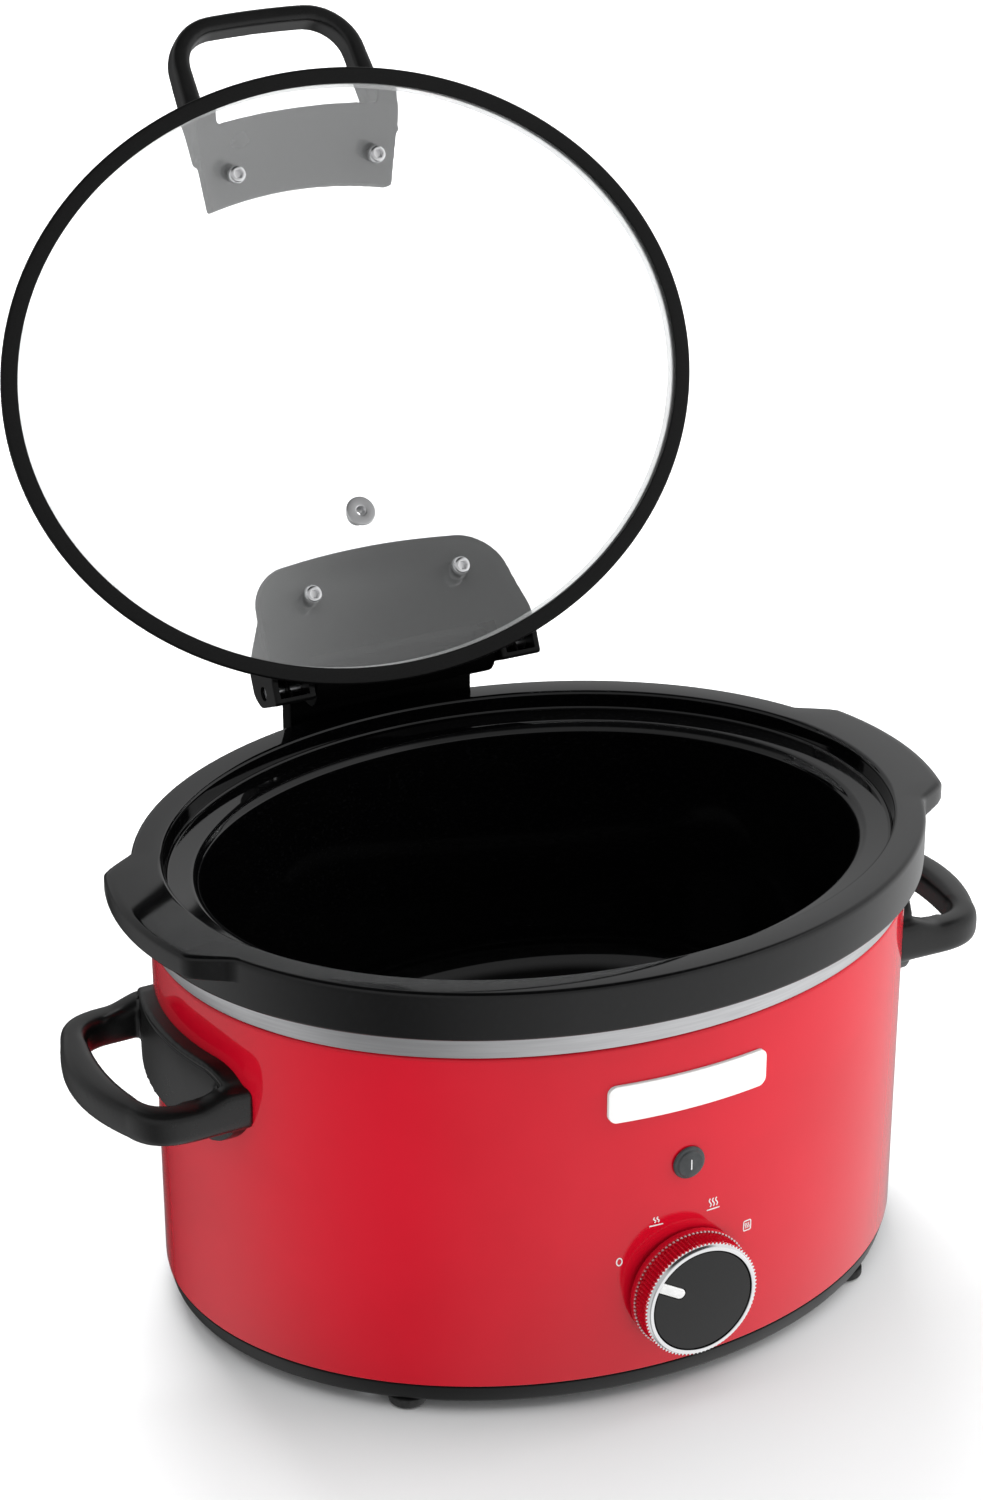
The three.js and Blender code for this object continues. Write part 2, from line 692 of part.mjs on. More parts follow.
function hingePost() {
  const side = new THREE.Shape();
  // Drawn in the plane of Y and Z: up the tongue, over the rim and forward to the barrel.
  side.moveTo(POST_FRONT_Y, TONGUE_BOTTOM);
  side.lineTo(POST_BACK_Y, TONGUE_BOTTOM);
  side.lineTo(POST_BACK_Y, 190);
  side.absarc(POST_BACK_Y - 12, 190, 12, 0, Math.PI / 2);
  side.lineTo(HINGE_Y, HINGE_Z + BARREL_R);
  side.lineTo(HINGE_Y, HINGE_Z - BARREL_R + 0.4);
  side.lineTo(121, 185.8);
  side.absarc(121, 178.8, 7, Math.PI / 2, 0, true);
  const plate = new THREE.ExtrudeGeometry(side, {
    depth: 2 * POST_HALF_WIDTH, bevelEnabled: false, curveSegments: 4 });
  plate.rotateX(Math.PI / 2).rotateZ(Math.PI / 2).translate(-POST_HALF_WIDTH, 0, 0);
  const trims = [-1, 1].map((s) => {
    const x = s < 0 ? [-60, -BARREL_HALF] : [BARREL_HALF, 60];
    return box(x, [90, 127.5], [160, 215]);
  });
  const arm = cut(solid(plate), ...trims);
  const barrel = cylinderX(BARREL_R, -BARREL_HALF, BARREL_HALF, 24, HINGE_Y, HINGE_Z);
  const bore = cylinderX(PIN_R + GAP, -60, 60, 16, HINGE_Y, HINGE_Z);
  return cut(union(arm, barrel), bore);
}

function hingePin() {
  const half = 56;
  return cylinderX(PIN_R, -half, half, 14, HINGE_Y, HINGE_Z);
}

// ---------------------------------------------------------------- lid, laid out closed round its own centre
// In the lid's own frame z = 0 is the underside of its ring and +Y is the hinge side.
const GLASS_EDGE_A = LID_A - 3.2;
const GLASS_EDGE = [1.7, LID_RING_HEIGHT - 1.4]; // the ground edge that the ring grips
const PIVOT = [HINGE_Y, HINGE_Z - LID_REST_Z];

const GLASS_RIM_Z = 3; // where the dome's underside meets the ring

// Height of the glass's underside over an oval of half-width a.
function domeZ(a) {
  const reach = 0.95 * LID_A;
  const share = Math.min(1, a / reach);
  return GLASS_RIM_Z + DOME * (1 - share ** 2.2);
}

const GLASS_RINGS = [0, 40, 70, 93, 113, 127, 136.7];

function lidGlass() {
  const under = GLASS_RINGS.map((a) => [a, domeZ(a)]);
  const over = GLASS_RINGS.map((a) => [a, domeZ(a) + GLASS]).reverse();
  const edge = [
    [GLASS_EDGE_A, GLASS_EDGE[0]],
    [GLASS_EDGE_A, GLASS_EDGE[1]],
    [GLASS_EDGE_A - 3, GLASS_EDGE[1]],
  ];
  const pane = ovalLathe([...under, ...edge, ...over]);
  const holes = [...HANDLE_BOLTS, ...BRACKET_BOLTS].map(([x, y]) => cylinderZ(2.6, -5, 60, 12, x, y));
  return cut(pane, ...holes, ontoVent(cylinderZ(4.4, -12, 12, 16)));
}

const HANDLE_BOLTS = [[-29.6, -83.4], [29.6, -83.4]];
const BRACKET_BOLTS = [[-31.8, 79.2], [31.8, 79.2]];
const VENT_Y = 51.8;

function lidRing() {
  const inner = LID_A - LID_RING_WIDTH;
  return ovalLathe([
    [inner, 0],
    [LID_A - 0.8, 0],
    [LID_A, 0.8],
    [LID_A - 0.4, 2.2],
    [LID_A - 2, LID_RING_HEIGHT],
    [inner + 0.4, LID_RING_HEIGHT],
    [inner + 0.4, LID_RING_HEIGHT - 1],
    [GLASS_EDGE_A + GAP, LID_RING_HEIGHT - 1],
    [GLASS_EDGE_A + GAP, 1.3],
    [inner, 1.3],
    [inner, 0],
  ]);
}

// Height of the glass's top over a point of the lid.
function glassTop(x, y) {
  const a = solveA(x, y);
  return domeZ(a) + GLASS;
}

// The half-width of the oval that passes through a point.
function solveA(x, y) {
  let [low, high] = [0.1, 170];
  for (let i = 0; i < 40; i++) {
    const a = (low + high) / 2;
    const inside = Math.hypot(x / a, y / (a * depthOver(a))) < 1;
    if (inside) high = a;
    else low = a;
  }
  return (low + high) / 2;
}

// A shell that follows the outside of the glass, thick enough for the plates that are bolted to it.
function overGlass(thickness) {
  const under = outsideOfGlass();
  const top = under.map(([a, z]) => [a, z + thickness]).reverse();
  return ovalLathe([...under, ...top]);
}

function outsideOfGlass() {
  const dome = GLASS_RINGS.slice(0, -1).map((a) => [a, domeZ(a) + GLASS + GAP]);
  const overEdge = [GLASS_EDGE_A - 3.3, GLASS_RIM_Z + GLASS + 2 * GAP];
  return [...dome, overEdge, [LID_A - 0.3, LID_RING_HEIGHT + GAP]];
}

// Everything from the outside of the glass inwards, to keep a piece clear of the lid.
function glassSpace() {
  const beyond = LID_A + 6;
  const floor = -10;
  const side = [[0, floor], [beyond, floor], [beyond, LID_RING_HEIGHT + GAP]];
  return ovalLathe([...side, ...outsideOfGlass().reverse()]);
}

// The handle's plate on the glass: narrow towards the middle of the lid, arched at both ends.
function lidHandlePlate() {
  const shape = new THREE.Shape();
  shape.moveTo(-38.2, -71.5);
  shape.lineTo(-42.6, -98);
  shape.lineTo(-42.6, -106);
  shape.lineTo(-33, -106);
  shape.lineTo(-32, -103);
  shape.quadraticCurveTo(0, -108, 32, -103);
  shape.lineTo(33, -106);
  shape.lineTo(42.6, -106);
  shape.lineTo(42.6, -98);
  shape.lineTo(38.2, -71.5);
  shape.quadraticCurveTo(0, -76.5, -38.2, -71.5);
  return overGlass(7).intersect(solid(extrude(shape, 80, 4).translate(0, 0, -20)));
}

// The grip: a flat loop that leans up and away from the lid, drawn from its own foot line outwards.
const GRIP_LEAN_DEG = 18.5;
const GRIP_FOOT_Y = -100;
const GRIP_FOOT_Z = 14.7;
const GRIP_THICK = 10;

function lidGrip() {
  const foot = 8;
  const reach = 51;
  const [halfFoot, halfTop, cornerR] = [42, 40.6, 22];
  const [wide, bar] = [8.4, 7.4];
  const loop = new THREE.Shape();
  loop.moveTo(-halfFoot - 1, foot);
  loop.lineTo(-halfTop, -reach + cornerR);
  loop.absarc(-halfTop + cornerR, -reach + cornerR, cornerR, Math.PI, Math.PI * 1.5);
  loop.quadraticCurveTo(0, -reach - 1, halfTop - cornerR, -reach);
  loop.absarc(halfTop - cornerR, -reach + cornerR, cornerR, Math.PI * 1.5, 0);
  loop.lineTo(halfFoot + 1, foot);
  loop.lineTo(halfFoot - wide, foot);
  const innerR = cornerR - bar;
  loop.lineTo(halfTop - wide + 1, -reach + bar + innerR);
  loop.absarc(halfTop - wide + 1 - innerR, -reach + bar + innerR, innerR, 0, Math.PI * 1.5, true);
  loop.quadraticCurveTo(0, -reach + bar - 1, -halfTop + wide - 1 + innerR, -reach + bar);
  loop.absarc(-halfTop + wide - 1 + innerR, -reach + bar + innerR, innerR, Math.PI * 1.5, Math.PI, true);
  loop.lineTo(-halfFoot + wide, foot);
  const flat = solid(extrude(loop, GRIP_THICK, 5));
  return flat.rotate([-GRIP_LEAN_DEG, 0, 0]).translate([0, GRIP_FOOT_Y, GRIP_FOOT_Z]);
}

// Wedges that carry the grip's legs down onto the plate.
function gripFoot(side) {
  const profile = new THREE.Shape();
  profile.moveTo(-84, 0);
  profile.lineTo(-110, 0);
  profile.lineTo(-113, 20);
  profile.lineTo(-110, 28);
  profile.lineTo(-98, 24);
  profile.lineTo(-84, 19);
  const width = 9;
  const block = extrude(profile, width, 4).rotateX(Math.PI / 2).rotateZ(Math.PI / 2);
  const inner = 33.6;
  return solid(block.translate(side > 0 ? inner : -inner - width, 0, 0));
}

function lidHandle() {
  const grip = cut(union(lidGrip(), gripFoot(1), gripFoot(-1)), glassSpace());
  const bolts = HANDLE_BOLTS.map(([x, y]) => cylinderZ(2.2, 0, glassTop(x, y) + 5, 12, x, y));
  return cut(union(lidHandlePlate(), grip), ...bolts);
}

// A bolt whose head is under the glass and whose shank runs up into the plate.
function lidBolt(x, y) {
  const under = glassTop(x, y) - GLASS;
  const slopeDrop = 1.6;
  const head = cylinderZ(3.6, under - slopeDrop - 3.6, under - slopeDrop, 14, x, y);
  const shank = cylinderZ(1.85, under - slopeDrop - 1, under + GLASS + 3.6, 10, x, y);
  const key = cylinderZ(1.7, under - slopeDrop - 5, under - slopeDrop - 2, 6, x, y);
  return cut(union(head, shank), key);
}

// Moves a piece made round the origin to the vent hole, square to the glass there.
function ontoVent(body) {
  const step = 0.5;
  const slope = (glassTop(0, VENT_Y - step) - glassTop(0, VENT_Y + step)) / (2 * step);
  const tilt = THREE.MathUtils.radToDeg(Math.atan(slope));
  return body.rotate([-tilt, 0, 0]).translate([0, VENT_Y, glassTop(0, VENT_Y) - GLASS / 2]);
}

function ventEyelet() {
  const [under, top] = [-GLASS / 2 - 0.2, GLASS / 2];
  const [outerR, boreR, sleeveR] = [6, 2, 4];
  const eyelet = roundLathe([
    [boreR, under - 1.8],
    [outerR - 0.6, under - 1.8],
    [outerR, under - 1.2],
    [outerR, under - 0.9],
    [sleeveR, under - 0.9],
    [sleeveR, top + 1.1],
    [boreR, top + 1.1],
    [boreR, under - 1.8],
  ], 20);
  return ontoVent(eyelet);
}

const CHEEK_INNER = BARREL_HALF + 1.4;
const CHEEK_OUTER = 57;
const CHEEK_END_Y = 118.6;
const CHEEK_TOP = PIVOT[1] + 10.8;

function lidBracket() {
  const shape = new THREE.Shape();
  shape.moveTo(-CHEEK_OUTER, 122);
  shape.lineTo(-CHEEK_OUTER, 110);
  shape.lineTo(-56, 100);
  shape.lineTo(-52, 78);
  shape.quadraticCurveTo(-49, 68, -38, 67);
  shape.quadraticCurveTo(0, 63, 38, 67);
  shape.quadraticCurveTo(49, 68, 52, 78);
  shape.lineTo(56, 100);
  shape.lineTo(CHEEK_OUTER, 110);
  shape.lineTo(CHEEK_OUTER, 122);
  const cutter = solid(extrude(shape, 80, 4).translate(0, 0, -20));
  const plate = overGlass(5.5).intersect(cutter);
  const barrelRoom = box([-CHEEK_INNER, CHEEK_INNER], [102.6, 140], [0, 50]);
  const cheeks = cut(union(cheek(1), cheek(-1)).intersect(cutter), glassSpace());
  const bolts = BRACKET_BOLTS.map(([x, y]) => cylinderZ(2.2, 0, glassTop(x, y) + 4.2, 12, x, y));
  const pinBore = cylinderX(PIN_R + GAP, -CHEEK_OUTER - 1, CHEEK_OUTER + 1, 14, ...PIVOT);
  return cut(union(cut(plate, barrelRoom), cheeks), pinPocket(1), pinPocket(-1), ...bolts, pinBore);
}

// A cheek beside the barrel that holds one end of the hinge pin.
function cheek(side) {
  const low = PIVOT[1] - 10.6;
  const high = CHEEK_TOP;
  const profile = new THREE.Shape();
  profile.moveTo(80, low);
  profile.lineTo(113, low);
  profile.lineTo(CHEEK_END_Y, low + 5);
  profile.lineTo(CHEEK_END_Y, high - 5);
  profile.lineTo(CHEEK_END_Y - 4.5, high);
  profile.lineTo(100, high);
  profile.lineTo(80, high - 8);
  const width = CHEEK_OUTER - CHEEK_INNER;
  const block = extrude(profile, width, 4).rotateX(Math.PI / 2).rotateZ(Math.PI / 2);
  return solid(block.translate(side > 0 ? CHEEK_INNER : -CHEEK_OUTER, 0, 0));
}

// The hollow in a cheek, open on the side that faces the lid's ring.
function pinPocket(side) {
  const skin = 2.4;
  const inside = [CHEEK_INNER + skin, CHEEK_OUTER - skin];
  const x = side > 0 ? inside : inside.map((v) => -v).reverse();
  return box(x, [106, CHEEK_END_Y - skin], [LID_RING_HEIGHT, CHEEK_TOP - skin]);
}

// ---------------------------------------------------------------- electrics
function cordGland() {
  const flangeR = 9;
  const outside = depthAt(wallA(GLAND_Z), GLAND_X - flangeR) + GAP;
  const sleeve = cylinderY(5.9, outside - 16, outside + 1, 16, GLAND_X, GLAND_Z);
  const flange = cylinderY(flangeR, outside, outside + 3, 16, GLAND_X, GLAND_Z);
  const bore = cylinderY(3.6, 80, 140, 14, GLAND_X, GLAND_Z);
  return cut(union(sleeve, flange), bore);
}

function terminalBlock() {
  const [x, y, z] = [30, 74, FOOT_TOP + 3 + GAP];
  const block = box([x - 18, x + 18], [y - 9, y + 9], [z, z + 15]);
  const wells = [-12, 0, 12].map((dx) => cylinderZ(3, z + 6, z + 20, 10, x + dx, y));
  return cut(block, ...wells);
}

function wire(points) {
  const curve = new THREE.CatmullRomCurve3(points.map((p) => new THREE.Vector3(...p)));
  const section = new THREE.Shape();
  section.absarc(0, 0, 1.3, 0, Math.PI * 2);
  const geometry = new THREE.ExtrudeGeometry(section, {
    steps: 12, extrudePath: curve, curveSegments: 3 });
  return solid(geometry);
}

// ---------------------------------------------------------------- assembly
const cooker = new THREE.Group();

function addBase(group) {
  part(group, "housing", housing(), PAINT);
  part(group, "base_tray", baseTray(), BASE_PLASTIC);
  const names = ["front_left", "front_right", "rear_left", "rear_right"];
  corners().forEach(([x, y], i) => part(group, `foot_${names[i]}`, foot(), RUBBER, [x, y, 0]));
  BASE_SCREW_ANGLES.forEach((angle, i) => {
    const [x, y] = ovalPlace(BASE_SCREW_A, angle);
    part(group, `base_screw_${i + 1}`, screw(3.6, 1.8, 1.6, 10), STEEL, [x, y, FOOT_TOP - 2.2]);
  });
  part(group, "liner", liner(), ALUMINIUM);
  part(group, "heater_band", heaterBand(), MICA);
  part(group, "heater_clamp_spring", heaterClamp(), STEEL);
  part(group, "insulation_band", insulationBand(), FELT);
  part(group, "tie_bolt", tieBolt(), STEEL);
  part(group, "tie_nut", tieNut(), STEEL);
  part(group, "thermal_fuse", thermalFuse(), STEEL);
  part(group, "fuse_clip", fuseClip(), ALUMINIUM);
}

function addControls(group) {
  part(group, "switch_body", switchBody(), NYLON);
  part(group, "switch_bracket", switchBracket(), STEEL);
  part(group, "switch_nut", switchNut(), STEEL);
  part(group, "neon_lamp", neonLamp(), CLEAR_GLASS);
  part(group, "indicator_lens", indicatorLens(), LENS_PLASTIC);
  part(group, "lens_clip", lensClip(), STEEL);
  part(group, "badge_plate", badgePlate(), BADGE_ENAMEL);
}

const POINTER_DEG = 59.5; // off position, to the left of upright
function addKnob(group) {
  const knob = new THREE.Group();
  knob.position.set(0, 0, KNOB_Z);
  knob.rotation.y = -THREE.MathUtils.degToRad(POINTER_DEG);
  part(knob, "knob_skirt", knobSkirt(), PAINT);
  part(knob, "knob_bezel", knobBezel(), CHROME);
  part(knob, "knob_face", knobFace(), BLACK_PLASTIC);
  part(knob, "knob_pointer", knobPointer(), WHITE);
  part(knob, "knob_shaft", knobShaft(), STEEL);
  group.add(knob);
}

function addSideHandles(group) {
  for (const [name, turn] of [["right", 0], ["left", Math.PI]]) {
    const side = new THREE.Group();
    side.rotation.z = turn;
    part(side, `side_handle_${name}`, sideHandle(), BLACK_PLASTIC);
    [-1, 1].forEach((s, i) => {
      const place = [0, s * HANDLE_SCREW_Y, HANDLE_SCREW_Z];
      part(side, `handle_screw_${name}_${i + 1}`, sideScrew(), STEEL, place);
    });
    group.add(side);
  }
}

function addHinge(group) {
  part(group, "post_socket", postSocket(), BLACK_PLASTIC);
  [-1, 1].forEach((s, i) => {
    const place = [s * SOCKET_SCREW_X, 0, SOCKET_SCREW_Z];
    part(group, `socket_screw_${i + 1}`, socketScrew(), STEEL, place);
  });
  part(group, "hinge_post", hingePost(), BLACK_PLASTIC);
  part(group, "hinge_pin", hingePin(), STEEL);
}

function addLid(group) {
  const swing = new THREE.Group();
  swing.position.set(0, HINGE_Y, HINGE_Z);
  swing.rotation.x = -THREE.MathUtils.degToRad(LID_OPEN_DEG);
  const lid = new THREE.Group();
  lid.position.set(0, -PIVOT[0], -PIVOT[1]);
  swing.add(lid);
  part(lid, "lid_glass", lidGlass(), CLEAR_GLASS);
  part(lid, "lid_ring", lidRing(), BLACK_PLASTIC);
  part(lid, "lid_handle", lidHandle(), BLACK_PLASTIC);
  HANDLE_BOLTS.forEach(([x, y], i) => part(lid, `lid_handle_bolt_${i + 1}`, lidBolt(x, y), CHROME));
  part(lid, "lid_bracket", lidBracket(), BLACK_PLASTIC);
  BRACKET_BOLTS.forEach(([x, y], i) => part(lid, `lid_bracket_bolt_${i + 1}`, lidBolt(x, y), CHROME));
  part(lid, "vent_eyelet", ventEyelet(), STEEL);
  group.add(swing);
}

function addElectrics(group) {
  part(group, "cord_gland", cordGland(), RUBBER);
  part(group, "terminal_block", terminalBlock(), NYLON);
  const z = FOOT_TOP + 12;
  const toSwitch = [
    [20, 63, z], [40, 20, z - 5], [40, -50, z - 5], [14, -84, z + 8], [9, -90.5, z + 19]];
  const toHeater = [
    [49.6, 72, z], [80, 62, z + 2], [112, 52, z + 10],
    [124.6, 48.2, z + 28], [125.4, 47.6, z + 42], [125.2, 47.4, z + 56]];
  part(group, "wire_switch", wire(toSwitch), BROWN_WIRE);
  part(group, "wire_heater", wire(toHeater), BLUE_WIRE);
}

addBase(cooker);
addControls(cooker);
addKnob(cooker);
addSideHandles(cooker);
addHinge(cooker);
part(cooker, "crock", crock(), GLAZE);
addLid(cooker);
addElectrics(cooker);

// The origin goes under the middle of the bounding box, to a tenth of a millimetre.
cooker.updateMatrixWorld(true);
const bounds = new THREE.Box3().setFromObject(cooker, true);
const middleY = (bounds.min.y + bounds.max.y) / 2;
cooker.position.y = -Math.round(middleY * 10) / 10;

export default cooker;
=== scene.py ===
"""Looks of an oval slow cooker with a hinged glass lid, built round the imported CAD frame.

Making functions work in millimetres in three local frames, and settle() moves the result into place in
metres: the pot frame (Z up through the middle of the pot), the lid frame (the closed lid's own, z = 0
under its ring, +Y towards the hinge) and the knob frame (the dial's axis along Y, its pointer up).
"""
import json
import math

import bmesh
import bpy
import numpy as np
from mathutils import Matrix, Vector


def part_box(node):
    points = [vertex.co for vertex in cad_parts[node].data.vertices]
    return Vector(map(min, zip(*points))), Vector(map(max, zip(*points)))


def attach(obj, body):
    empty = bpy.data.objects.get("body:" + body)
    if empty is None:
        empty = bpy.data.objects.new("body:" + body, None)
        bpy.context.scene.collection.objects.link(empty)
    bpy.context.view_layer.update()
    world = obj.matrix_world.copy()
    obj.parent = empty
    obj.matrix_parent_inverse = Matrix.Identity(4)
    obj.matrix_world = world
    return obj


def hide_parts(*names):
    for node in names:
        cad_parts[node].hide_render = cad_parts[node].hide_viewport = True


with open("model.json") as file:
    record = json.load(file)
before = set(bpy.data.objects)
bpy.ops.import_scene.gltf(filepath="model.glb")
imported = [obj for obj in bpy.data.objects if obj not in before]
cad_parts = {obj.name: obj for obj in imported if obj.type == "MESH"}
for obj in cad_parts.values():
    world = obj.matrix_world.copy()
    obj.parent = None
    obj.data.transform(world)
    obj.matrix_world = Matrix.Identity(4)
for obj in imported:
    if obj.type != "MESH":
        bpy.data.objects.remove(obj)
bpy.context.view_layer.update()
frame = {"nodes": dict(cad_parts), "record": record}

# -------------------- places taken from the frame
MM = 0.001
JOINTS = {joint["name"]: joint for joint in frame["record"]["behaviour"]["joints"]}
CROCK_LOW, CROCK_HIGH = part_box("crock")
AXIS_Y = (CROCK_LOW.y + CROCK_HIGH.y) / 2 / MM
HINGE = [v / MM for v in JOINTS["lid_hinge"]["pos_m"]]
LID_OPEN_DEG = JOINTS["lid_hinge"]["range_deg"][1]
KNOB_Z = JOINTS["knob_turn"]["pos_m"][2] / MM
RIM_TOP = CROCK_HIGH.z / MM

# -------------------- sizes
OVAL = 25.6  # half-width minus half-depth of every oval
CORE = 100  # smaller ovals keep one proportion down to the axis
GAP = 0.35
FOOT_TOP = 4
WALL_BOTTOM, WALL_TOP = 12.1, 146.7
WALL_FOOT_A, WALL_HEAD_A = 143.7, 144.8
SKIRT_BOTTOM = 157
RIM_A, RIM_INNER_A = 151.2, 139.4
EAR_REACH, EAR_THICK = 9.8, 9
LID_A = 143.9
LID_RING_HEIGHT = 5
LID_REST_Z = 176
DOME, GLASS, GLASS_RIM_Z = 29, 3.5, 3
GLASS_EDGE_A = LID_A - 3.2
PIVOT_Y, PIVOT_Z = HINGE[1] - AXIS_Y, HINGE[2] - LID_REST_Z
PIN_R, BARREL_R, BARREL_HALF = 2.5, 8.6, 38.5
POST_HALF, POST_FRONT, POST_BACK = 39.5, 128, 136
SOCKET_HALF, SOCKET_BOTTOM, SOCKET_TOP = 48, 92, 150
CHEEK_INNER, CHEEK_OUTER, CHEEK_END = BARREL_HALF + 1.4, 57, 118.6
HANDLE_Z, HANDLE_THICK, HANDLE_REACH, HANDLE_HALF = 110.8, 13, 184, 45
KNOB_R, KNOB_BACK, BEZEL_BACK, KNOB_FACE = 22.8, -119.5, -129.3, -131.7
POINTER_DEG = 59.5
LENS_Z, BADGE_Z = 94.7, 124.7


def box_middle(name):
    """The middle of a CAD node's box, in millimetres."""
    low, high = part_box(name)
    return (low + high) / 2 / MM


def depth(a):
    """Half-depth of the oval with half-width a."""
    a = np.asarray(a, float)
    return a * (1 - OVAL / np.maximum(a, CORE))


def depth_at(a, x):
    """How far the oval lies from the middle plane at a given x."""
    return depth(a) * np.sqrt(1 - (np.asarray(x) / a) ** 2)


def wall_a(z):
    """Half-width of the painted wall at a height."""
    share = (np.asarray(z) - WALL_BOTTOM) / (WALL_TOP - WALL_BOTTOM)
    return WALL_FOOT_A + share * (WALL_HEAD_A - WALL_FOOT_A)


def dome_z(a):
    """Height of the glass's underside over the oval with half-width a."""
    share = np.minimum(1, np.asarray(a, float) / (0.95 * LID_A))
    return GLASS_RIM_Z + DOME * (1 - share**2.2)


def oval_through(x, y):
    """Half-width of the oval through each point, by bisection."""
    x, y = np.broadcast_arrays(np.asarray(x, float), np.asarray(y, float))
    low, high = np.full(x.shape, 0.1), np.full(x.shape, 200.0)
    for _ in range(40):
        middle = (low + high) / 2
        inside = (x / middle) ** 2 + (y / depth(middle)) ** 2 < 1
        high = np.where(inside, middle, high)
        low = np.where(inside, low, middle)
    return (low + high) / 2


def glass_top(x, y):
    return dome_z(oval_through(x, y)) + GLASS


# -------------------- local frames
def turned(u, v, angle):
    """The direction [u, v] turned by an angle, from the first axis towards the second."""
    return u * math.cos(angle) - v * math.sin(angle), u * math.sin(angle) + v * math.cos(angle)


def pot_frame(p):
    return (p + np.array([0, AXIS_Y, 0])) * MM


def lid_frame(p):
    y, z = turned(p[:, 1] - PIVOT_Y, p[:, 2] - PIVOT_Z, -math.radians(LID_OPEN_DEG))
    return np.stack([p[:, 0], HINGE[1] + y, HINGE[2] + z], -1) * MM


def knob_frame(p):
    x, z = turned(p[:, 0], p[:, 2], math.radians(POINTER_DEG))
    return np.stack([x, p[:, 1] + AXIS_Y, KNOB_Z + z], -1) * MM


# -------------------- mesh code
def rounded(points, steps=5, closed=True):
    """A polyline whose corners are rounded. Each point is its coordinates and then its corner's size."""
    places = [np.array(p[:-1], float) for p in points]
    out = []
    for i, corner in enumerate(places):
        size = points[i][-1]
        if size == 0 or (not closed and i in (0, len(points) - 1)):
            out.append(corner)
            continue
        before, after = places[i - 1] - corner, places[(i + 1) % len(points)] - corner
        reach = min(size, 0.48 * np.linalg.norm(before), 0.48 * np.linalg.norm(after))
        start = corner + before / np.linalg.norm(before) * reach
        end = corner + after / np.linalg.norm(after) * reach
        for k in range(steps + 1):
            s = k / steps
            out.append((1 - s) ** 2 * start + 2 * s * (1 - s) * corner + s * s * end)
    return np.array(out)


def grid_faces(rows, columns, wrap_rows, wrap_columns):
    faces = []
    for i in range(rows if wrap_rows else rows - 1):
        for j in range(columns if wrap_columns else columns - 1):
            here, above = i * columns, (i + 1) % rows * columns
            across = (j + 1) % columns
            faces.append((here + j, here + across, above + across, above + j))
    return faces


def mesh_object(name, vertices, faces):
    """A mesh of these corners in its local frame, with doubled corners merged and faces turned outwards."""
    mesh = bpy.data.meshes.new(name)
    mesh.from_pydata([tuple(v) for v in np.asarray(vertices, float)], [], faces)
    clean(mesh)
    return linked(name, mesh)


def linked(name, data):
    obj = bpy.data.objects.new(name, data)
    bpy.context.scene.collection.objects.link(obj)
    return obj


def clean(mesh):
    work = bmesh.new()
    work.from_mesh(mesh)
    bmesh.ops.remove_doubles(work, verts=work.verts, dist=1e-4)
    bmesh.ops.dissolve_degenerate(work, edges=work.edges, dist=1e-4)
    bmesh.ops.recalc_face_normals(work, faces=work.faces)
    if work.calc_volume(signed=True) < 0:
        bmesh.ops.reverse_faces(work, faces=work.faces)
    work.to_mesh(mesh)
    work.free()


def lathe(name, profile, oval=True, segments=256, closed=True, flutes=None):
    """Turns a profile of [half-width, height] round Z. flutes(angles, profile) scales the radius."""
    profile = np.asarray(profile, float)
    t = np.linspace(0, 2 * np.pi, segments, endpoint=False)[:, None]
    a, z = profile[:, 0][None], profile[:, 1][None]
    b = depth(a) if oval else a
    scale = flutes(t, profile) if flutes else 1
    grid = np.stack([a * np.cos(t) * scale, b * np.sin(t) * scale, z + 0 * t], -1)
    return mesh_object(name, grid.reshape(-1, 3), grid_faces(segments, a.size, True, closed))


def turned_solid(name, points, segments, steps=5, flutes=None):
    """A round body whose rounded profile starts and ends on its axis."""
    profile = rounded(points, steps, closed=False)
    return lathe(name, profile, oval=False, segments=segments, closed=False, flutes=flutes)


def capped_tube(name, rings):
    """A closed body through rings of points, with a flat face on either end."""
    rows, columns = rings.shape[:2]
    faces = grid_faces(rows, columns, False, True)
    last = (rows - 1) * columns
    faces += [tuple(range(columns)), tuple(range(last, last + columns))[::-1]]
    return mesh_object(name, rings.reshape(-1, 3), faces)


def prism(name, outline, axis, low, high):
    """A closed outline of [u, v] points drawn along an axis. u and v are the other two axes, in order."""
    outline = np.asarray(outline, float)
    return capped_tube(name, np.stack([np.insert(outline, axis, level, axis=1) for level in (low, high)]))


def corner_rows(corner, count):
    """Distances from an edge at which rows follow a round corner."""
    return corner * (1 - np.cos(np.linspace(0, np.pi / 2, count)))


def row_half(half, corner, from_edge):
    """Half-width of a rounded plate at a distance from the edge that its corners end on."""
    return half - corner + np.sqrt(corner**2 - np.clip(corner - from_edge, 0, None) ** 2)


def rounded_rows(half, low, high, corner, count):
    """Heights and half-widths of the rows of a plate with round corners."""
    from_edge = np.append(corner_rows(corner, count), (high - low) / 2)
    width = row_half(half, corner, from_edge)
    heights = np.concatenate([low + from_edge, (high - from_edge)[-2::-1]])
    return heights, np.concatenate([width, width[-2::-1]])


